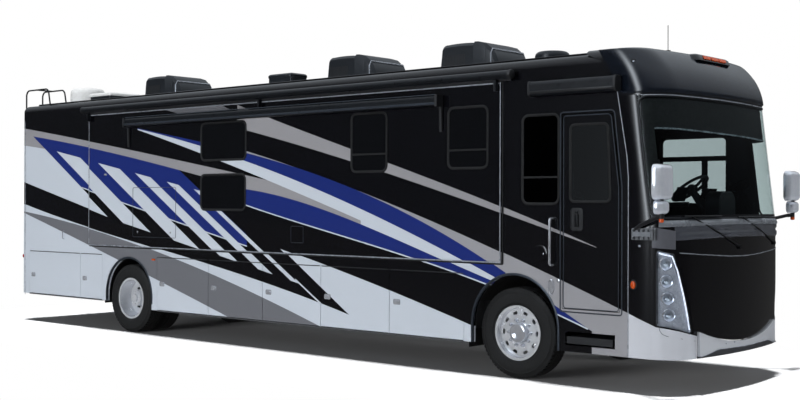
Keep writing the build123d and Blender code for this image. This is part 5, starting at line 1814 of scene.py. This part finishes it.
print("Dressing the rear")
tail = bmesh.new()
rims = bmesh.new()
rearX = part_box("rear_cap")[0].x
for low, high in islands("tail_lamps"):
    if low.y > 0:
        continue
    outline = rectangle((low.y, low.z), (high.y, high.z), 0.04)
    section = ((0.02, 0), (0.018, 0.016), (0.004, 0.03), (-0.006, 0.03), (-0.006, 0.0))
    addSection(rims, outline, section, onEnd(rearX))
    for share in (0.18, 0.5, 0.82):
        z = low.z + (high.z - low.z) * share
        middle = ((low.y + high.y) / 2, z)
        section = ((0.0, 0.02), (-0.003, 0.036), (-0.012, 0.042), (-0.03, 0.044))
        addSection(tail, circle(middle, 0.052, 28), section, onEnd(rearX), True)
finishPiece("tail_lamp_lenses", tail, "redLens", both=True)
finishPiece("tail_lamp_rims", rims, "chrome", both=True)
low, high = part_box("engine_door")
louvres = bmesh.new()
slat = bmesh.new()
slatEnds = ((low.x - 0.016, low.y + 0.1, low.z + 0.08), (low.x + 0.004, high.y - 0.1, low.z + 0.092))
for corner in addBlock(slat, *slatEnds):
    if corner.co.x < low.x - 0.01:
        corner.co.z -= 0.012
repeatInto(louvres, slat, "texturedPlastic", 11, step=(0, 0, 0.032))
outline = rectangle((low.y + 0.07, low.z + 0.05), (high.y - 0.07, high.z - 0.05), 0.03)
addSection(louvres, outline, ((0, 0), (-0.002, 0.012), (-0.02, 0.012), (-0.024, 0)), onEnd(low.x))
finishPiece("engine_door_louvres", louvres, "texturedPlastic", "engine_door")
section = ((0, 0), (-0.002, 0.01), (-0.008, 0.014))
pads = []
for y in (low.y + 0.1, high.y - 0.1):
    outline = rectangle((y - 0.05, high.z - 0.04), (y + 0.05, high.z - 0.012), 0.01)
    pads.append((outline, section, onEnd(low.x)))
makePads("engine_door_latches", "chrome", pads, body="engine_door")

rearFittings = {
    "roundLamp": ((0, 0), (-0.003, 0.012), (-0.012, 0.018)),
    "barLamp": ((0, 0), (-0.003, 0.01), (-0.008, 0.014)),
    "sideLamp": ((0, 0), (-0.002, 0.008), (-0.006, 0.011)),
    "camera": ((0, 0), (-0.004, 0.05), (-0.02, 0.06)),
    "plate": ((0, 0), (-0.001, 0.006), (-0.004, 0.007)),
}
place = onEnd(rearX)
pads = [(circle((y, 3.3), 0.035, 20), rearFittings["roundLamp"], place) for y in (-1.16, 1.16)]
for y in (-0.2, 0.0, 0.2):
    pads.append((rectangle((y - 0.05, 3.4), (y + 0.05, 3.43), 0.012), rearFittings["barLamp"], place))
makePads("rear_marker_lamps", "redLens", pads)
for name, finish, outline in (
    ("rear_side_lamps", "redLens", rectangle((-5.94, 1.02), (-5.915, 1.075), 0.01)),
    ("side_repeaters", "amberLens", rectangle((-2.5, 1.085), (-2.42, 1.115), 0.012)),
):
    makePads(name, finish, [(outline, rearFittings["sideLamp"], onSide(sideY))], both=True)
outline = rectangle((-0.05, 3.2), (0.05, 3.27), 0.02)
makePads("rear_camera", "texturedPlastic", [(outline, rearFittings["camera"], place)], bevel=0.003)
outline = rectangle((-0.17, 1.2), (0.17, 1.36), 0.012)
makePads("blank_plate", "whitePlastic", [(outline, rearFittings["plate"], place)])

mudFlaps = (
    # middle of the axle, inner and outer edge across, bottom and top
    (rearAxleX, (0.66, 1.24), (0.4, 0.6)),
    (frontAxleX, (0.9, 1.235), (0.3, 0.5)),
)
flaps = bmesh.new()
for sign in (-1, 1):
    for x, across, (bottom, top) in mudFlaps:
        y0, y1 = sorted(sign * y for y in across)
        addBlock(flaps, (x - 0.66, y0, bottom), (x - 0.652, y1, top))
finishPiece("mud_flaps", flaps, "rubber", bevel=0.002)

print("Furnishing the cab")
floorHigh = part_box("dashboard")[0].z
cab = {"ceilingZ": 3.0, "back": 2.2, "curtainHalf": 0.5, "curtainTop": 2.98}
lining = bmesh.new()
rings = []
for i in range(33):
    edge = nosePoint(-1.4 + 2.8 * i / 32, cab["ceilingZ"], -0.05)
    ends = ((edge.x, edge.y, cab["ceilingZ"]), (cab["back"], edge.y, cab["ceilingZ"]))
    rings.append([lining.verts.new(end) for end in ends])
joinRings(lining, rings, False)
thicken(lining, 0.01)
finishPiece("cab_ceiling", lining, "ceilingCloth")
partition = bmesh.new()
half = cab["curtainHalf"]
addBlock(partition, (cab["back"] - 0.02, -half, floorHigh), (cab["back"], half, cab["curtainTop"]))
finishPiece("cab_curtain", partition, "ceilingCloth", bevel=0.004)

wheelLow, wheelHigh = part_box("steering_wheel")
column = bmesh.new()
middle = (wheelLow + wheelHigh) / 2
addTube(column, [middle, middle + Vector((0.16, 0, -0.16)), middle + Vector((0.36, 0, -0.36))], 0.035, 16)
shroud = [(-0.02, 0.075), (0.02, 0.07), (0.05, 0.05), (0.06, 0.0)]
addTurned(column, shroud, middle + Vector((0.02, 0, -0.02)), (-0.7, 0, 0.7), 24)
finishPiece("steering_column", column, "dashPlastic")
rim = bmesh.new()
facing = Vector((-0.6, 0, 0.8)).normalized()
across = Vector((0, 1, 0))
rise = facing.cross(across)
wheelRadius = min(0.235, (wheelHigh.y - wheelLow.y) / 2)
circlePath = []
for k in range(48):
    angle = 2 * math.pi * k / 48
    circlePath.append(middle + (across * math.cos(angle) + rise * math.sin(angle)) * wheelRadius)
addTube(rim, circlePath, 0.018, 12, True)
for angle in (0.25, math.pi - 0.25, 1.5 * math.pi):
    end = middle + (across * math.cos(angle) + rise * math.sin(angle)) * wheelRadius
    addTube(rim, [middle - facing * 0.03, middle.lerp(end, 0.5) - facing * 0.02, end], 0.017, 10)
finishPiece("steering_wheel_rim", rim, "dashPlastic", replaced=("steering_wheel",))
left, right = middle.y - 0.2, middle.y + 0.2
outline = rounded([(left, 1.78), (right, 1.78), (right, 2.075), (left, 2.075)], [0.01, 0.01, 0.12, 0.12])
section = ((-0.015, 0.0), (0.0, 0.012), (0.004, 0.09), (0.0, 0.178), (-0.015, 0.19))
makePads("dash_hood", "dashPlastic", [(outline, section, onEnd(5.36, 1))])
screens = bmesh.new()
for corner in addBlock(screens, (5.285, middle.y - 0.17, 2.0), (5.3, middle.y + 0.17, 2.11)):
    corner.co.x += (corner.co.z - 2.0) * 0.35
for corner in addBlock(screens, (5.2, -0.02, 1.96), (5.215, 0.24, 2.12)):
    corner.co.x += (corner.co.z - 1.96) * 0.35
finishPiece("dash_screens", screens, "darkGlass", bevel=0.004)


def makeCushion(name, low, high, crown):
    # Padded block, crown is how far its faces swell
    cushion = bmesh.new()
    bmesh.ops.create_cube(cushion, size=2.0)
    bmesh.ops.subdivide_edges(cushion, edges=list(cushion.edges), cuts=11, use_grid_fill=True)
    low, high = Vector(low), Vector(high)
    middle, half = (low + high) / 2, (high - low) / 2
    for vert in cushion.verts:
        spot = vert.co.copy()
        # corners drawn in, faces crowned, two sewn channels along it
        size = max(abs(value) for value in spot)
        ball = spot.normalized() * size
        spot = spot.lerp(ball, 0.07)
        for axis in range(3):
            others = [spot[k] for k in range(3) if k != axis]
            swell = (1 - others[0] ** 2) * (1 - others[1] ** 2)
            if abs(spot[axis]) > 0.8 and swell > 0:
                spot[axis] *= 1 + crown * swell
        channel = math.exp(-((abs(spot.y) - 0.45) / 0.05) ** 2)
        spot *= 1 - 0.03 * channel
        vert.co = Vector([middle[k] + half[k] * spot[k] for k in range(3)])
    piece = finishPiece(name, cushion, "seatLeather", angle=80)
    smooth = piece.modifiers.new("smooth", "SUBSURF")
    smooth.levels = 1
    smooth.render_levels = 1


print("Padding the seats")
seats = sorted(islands("seats"), key=lambda pair: pair[0].y)
for side, (low, high) in zip(("right", "left"), seats):
    x, y0, y1 = low.x, low.y + 0.01, high.y - 0.01
    makeCushion("seat_cushion_" + side, (x + 0.1, y0, 1.62), (high.x, y1, 1.75), 0.12)
    makeCushion("seat_back_" + side, (x, y0 + 0.01, 1.72), (x + 0.13, y1 - 0.01, 2.3), 0.09)
    makeCushion("seat_headrest_" + side, (x + 0.01, y0 + 0.11, 2.29), (x + 0.12, y1 - 0.11, 2.46), 0.08)
bases = bmesh.new()
for low, high in islands("seats"):
    middleY = (low.y + high.y) / 2
    addBlock(bases, (low.x + 0.22, middleY - 0.13, floorHigh), (low.x + 0.44, middleY + 0.13, 1.6))
    addBlock(bases, (low.x + 0.1, low.y + 0.03, 1.58), (high.x - 0.03, high.y - 0.03, 1.63))
    for sign in (-1, 1):
        y = middleY + sign * 0.265
        addTube(bases, [(low.x + 0.1, y, 1.92), (low.x + 0.42, y, 1.93)], 0.03, 12)
finishPiece("seat_pedestals", bases, "dashPlastic", replaced=("seats",), bevel=0.008)


def lookedAt(tree):
    # Whether the camera looks here, straight or through glass, and whether a reflection does
    path = addNode(tree, "ShaderNodeLightPath")
    seen = mathNode(tree, "MAXIMUM", path.outputs["Is Camera Ray"], path.outputs["Is Transmission Ray"])
    return seen, path.outputs["Is Glossy Ray"]


def makeFloor():
    size = studio["floorSize"] / 2
    mesh = bpy.data.meshes.new("floor")
    corners = [(-size, -size, 0), (size, -size, 0), (size, size, 0), (-size, size, 0)]
    mesh.from_pydata(corners, [], [(0, 1, 2, 3)])
    floor = addObject("floor", mesh)
    material, tree, shader = startMaterial("studioFloor", Specular_IOR_Level=0.0, Roughness=0.9)
    shade = spread(tree, noise(tree, 0.8, 3.0), 0.985, 1.0)
    base = mixColour(tree, 1.0, studio["floorColour"], shade, "MULTIPLY")
    tree.links.new(base, shader.inputs["Base Color"])
    # seen by the camera, the floor fades to white away from the coach
    away = []
    for axis, half in zip(objectAxes(tree), studio["fadeRoundHalf"]):
        beyond = mathNode(tree, "SUBTRACT", mathNode(tree, "ABSOLUTE", axis), half)
        away.append(mathNode(tree, "POWER", mathNode(tree, "MAXIMUM", beyond, 0.0), 2.0))
    distance = mathNode(tree, "SQRT", mathNode(tree, "ADD", away[0], away[1]))
    fade = spread(tree, distance, 0.0, 1.0, studio["fadeStart"], studio["fadeEnd"])
    seen, polished = lookedAt(tree)
    fade = mathNode(tree, "MULTIPLY", fade, seen)
    glow = addNode(tree, "ShaderNodeEmission")
    dim = addNode(tree, "ShaderNodeEmission")
    dim.inputs["Strength"].default_value = studio["floorInGloss"]
    lit = mixShaders(tree, fade, shader.outputs[0], glow.outputs[0])
    # polished surfaces see a dimmer floor, as outdoors
    showShader(tree, mixShaders(tree, polished, lit, dim.outputs[0]))
    mesh.materials.append(material)


def makeWorld():
    world = bpy.data.worlds.new("studio")
    scene.world = world
    world.use_nodes = True
    tree = world.node_tree
    tree.nodes.clear()
    output = tree.nodes.new("ShaderNodeOutputWorld")
    background = tree.nodes.new("ShaderNodeBackground")
    tree.links.new(background.outputs[0], output.inputs[0])
    seen, polished = lookedAt(tree)
    direction = addNode(tree, "ShaderNodeTexCoord")
    axes = addNode(tree, "ShaderNodeSeparateXYZ")
    tree.links.new(direction.outputs["Generated"], axes.inputs[0])
    # Polished surfaces see a bright ceiling over dimmer walls, the camera sees white
    gloss = spread(tree, axes.outputs[2], studio["glossHorizon"], studio["glossTop"], 0.12, 0.7)
    # and one soft upright streak, which the rounded corners pick up
    azimuth = mathNode(tree, "ARCTAN2", axes.outputs[1], axes.outputs[0])
    offset = mathNode(tree, "SUBTRACT", azimuth, studio["streakAzimuth"])
    offset = mathNode(tree, "DIVIDE", offset, studio["streakHalf"])
    squared = mathNode(tree, "MULTIPLY", offset, offset)
    peak = mathNode(tree, "EXPONENT", mathNode(tree, "MULTIPLY", squared, -1.0))
    height = spread(tree, axes.outputs[2], 1.0, 0.0, 0.3, 0.8)
    streak = mathNode(tree, "MULTIPLY", mathNode(tree, "MULTIPLY", peak, height), studio["streakLight"])
    gloss = mathNode(tree, "ADD", gloss, streak)
    strength = addNode(tree, "ShaderNodeMix")
    tree.links.new(polished, strength.inputs[0])
    strength.inputs[2].default_value = studio["surroundLight"]
    tree.links.new(gloss, strength.inputs[3])
    final = addNode(tree, "ShaderNodeMix")
    tree.links.new(seen, final.inputs[0])
    tree.links.new(strength.outputs[0], final.inputs[2])
    final.inputs[3].default_value = 1.0
    tint = mixColour(tree, seen, studio["glossTint"], (1.0, 1.0, 1.0, 1.0))
    tree.links.new(tint, background.inputs["Color"])
    tree.links.new(final.outputs[0], background.inputs["Strength"])


def placeLamp(name, light, place, aim):
    lamp = addObject(name, light)
    lamp.visible_glossy = False
    turn = Vector(aim).to_track_quat("-Z", "Y").to_matrix().to_4x4()
    lamp.matrix_world = Matrix.Translation(place) @ turn


def makeLamps():
    for name, (place, aim, (width, height), watts) in lamps.items():
        light = bpy.data.lights.new(name, "AREA")
        light.shape = "RECTANGLE"
        light.energy = watts
        light.size = width
        light.size_y = height
        placeLamp(name, light, place, Vector(aim) - Vector(place))
    light = bpy.data.lights.new("skylight", "SUN")
    light.energy = skylight["strength"]
    light.angle = math.radians(skylight["angle"])
    placeLamp("skylight", light, (0, 0, 20), skylight["aim"])


def makeCamera():
    data = bpy.data.cameras.new("photoView")
    data.lens = cameraView["lens"]
    data.sensor_width = 36.0
    data.clip_end = 300.0
    camera = addObject("photoView", data)
    turn = Matrix.Rotation(math.radians(cameraView["heading"]), 4, "Z")
    turn = turn @ Matrix.Rotation(math.radians(90 + cameraView["tilt"]), 4, "X")
    turn = turn @ Matrix.Rotation(math.radians(cameraView["roll"]), 4, "Z")
    camera.matrix_world = Matrix.Translation(cameraView["place"]) @ turn
    scene.camera = camera


print("Setting up the studio and camera")
makeFloor()
makeWorld()
makeLamps()
makeCamera()
scene.view_settings.view_transform = "Standard"
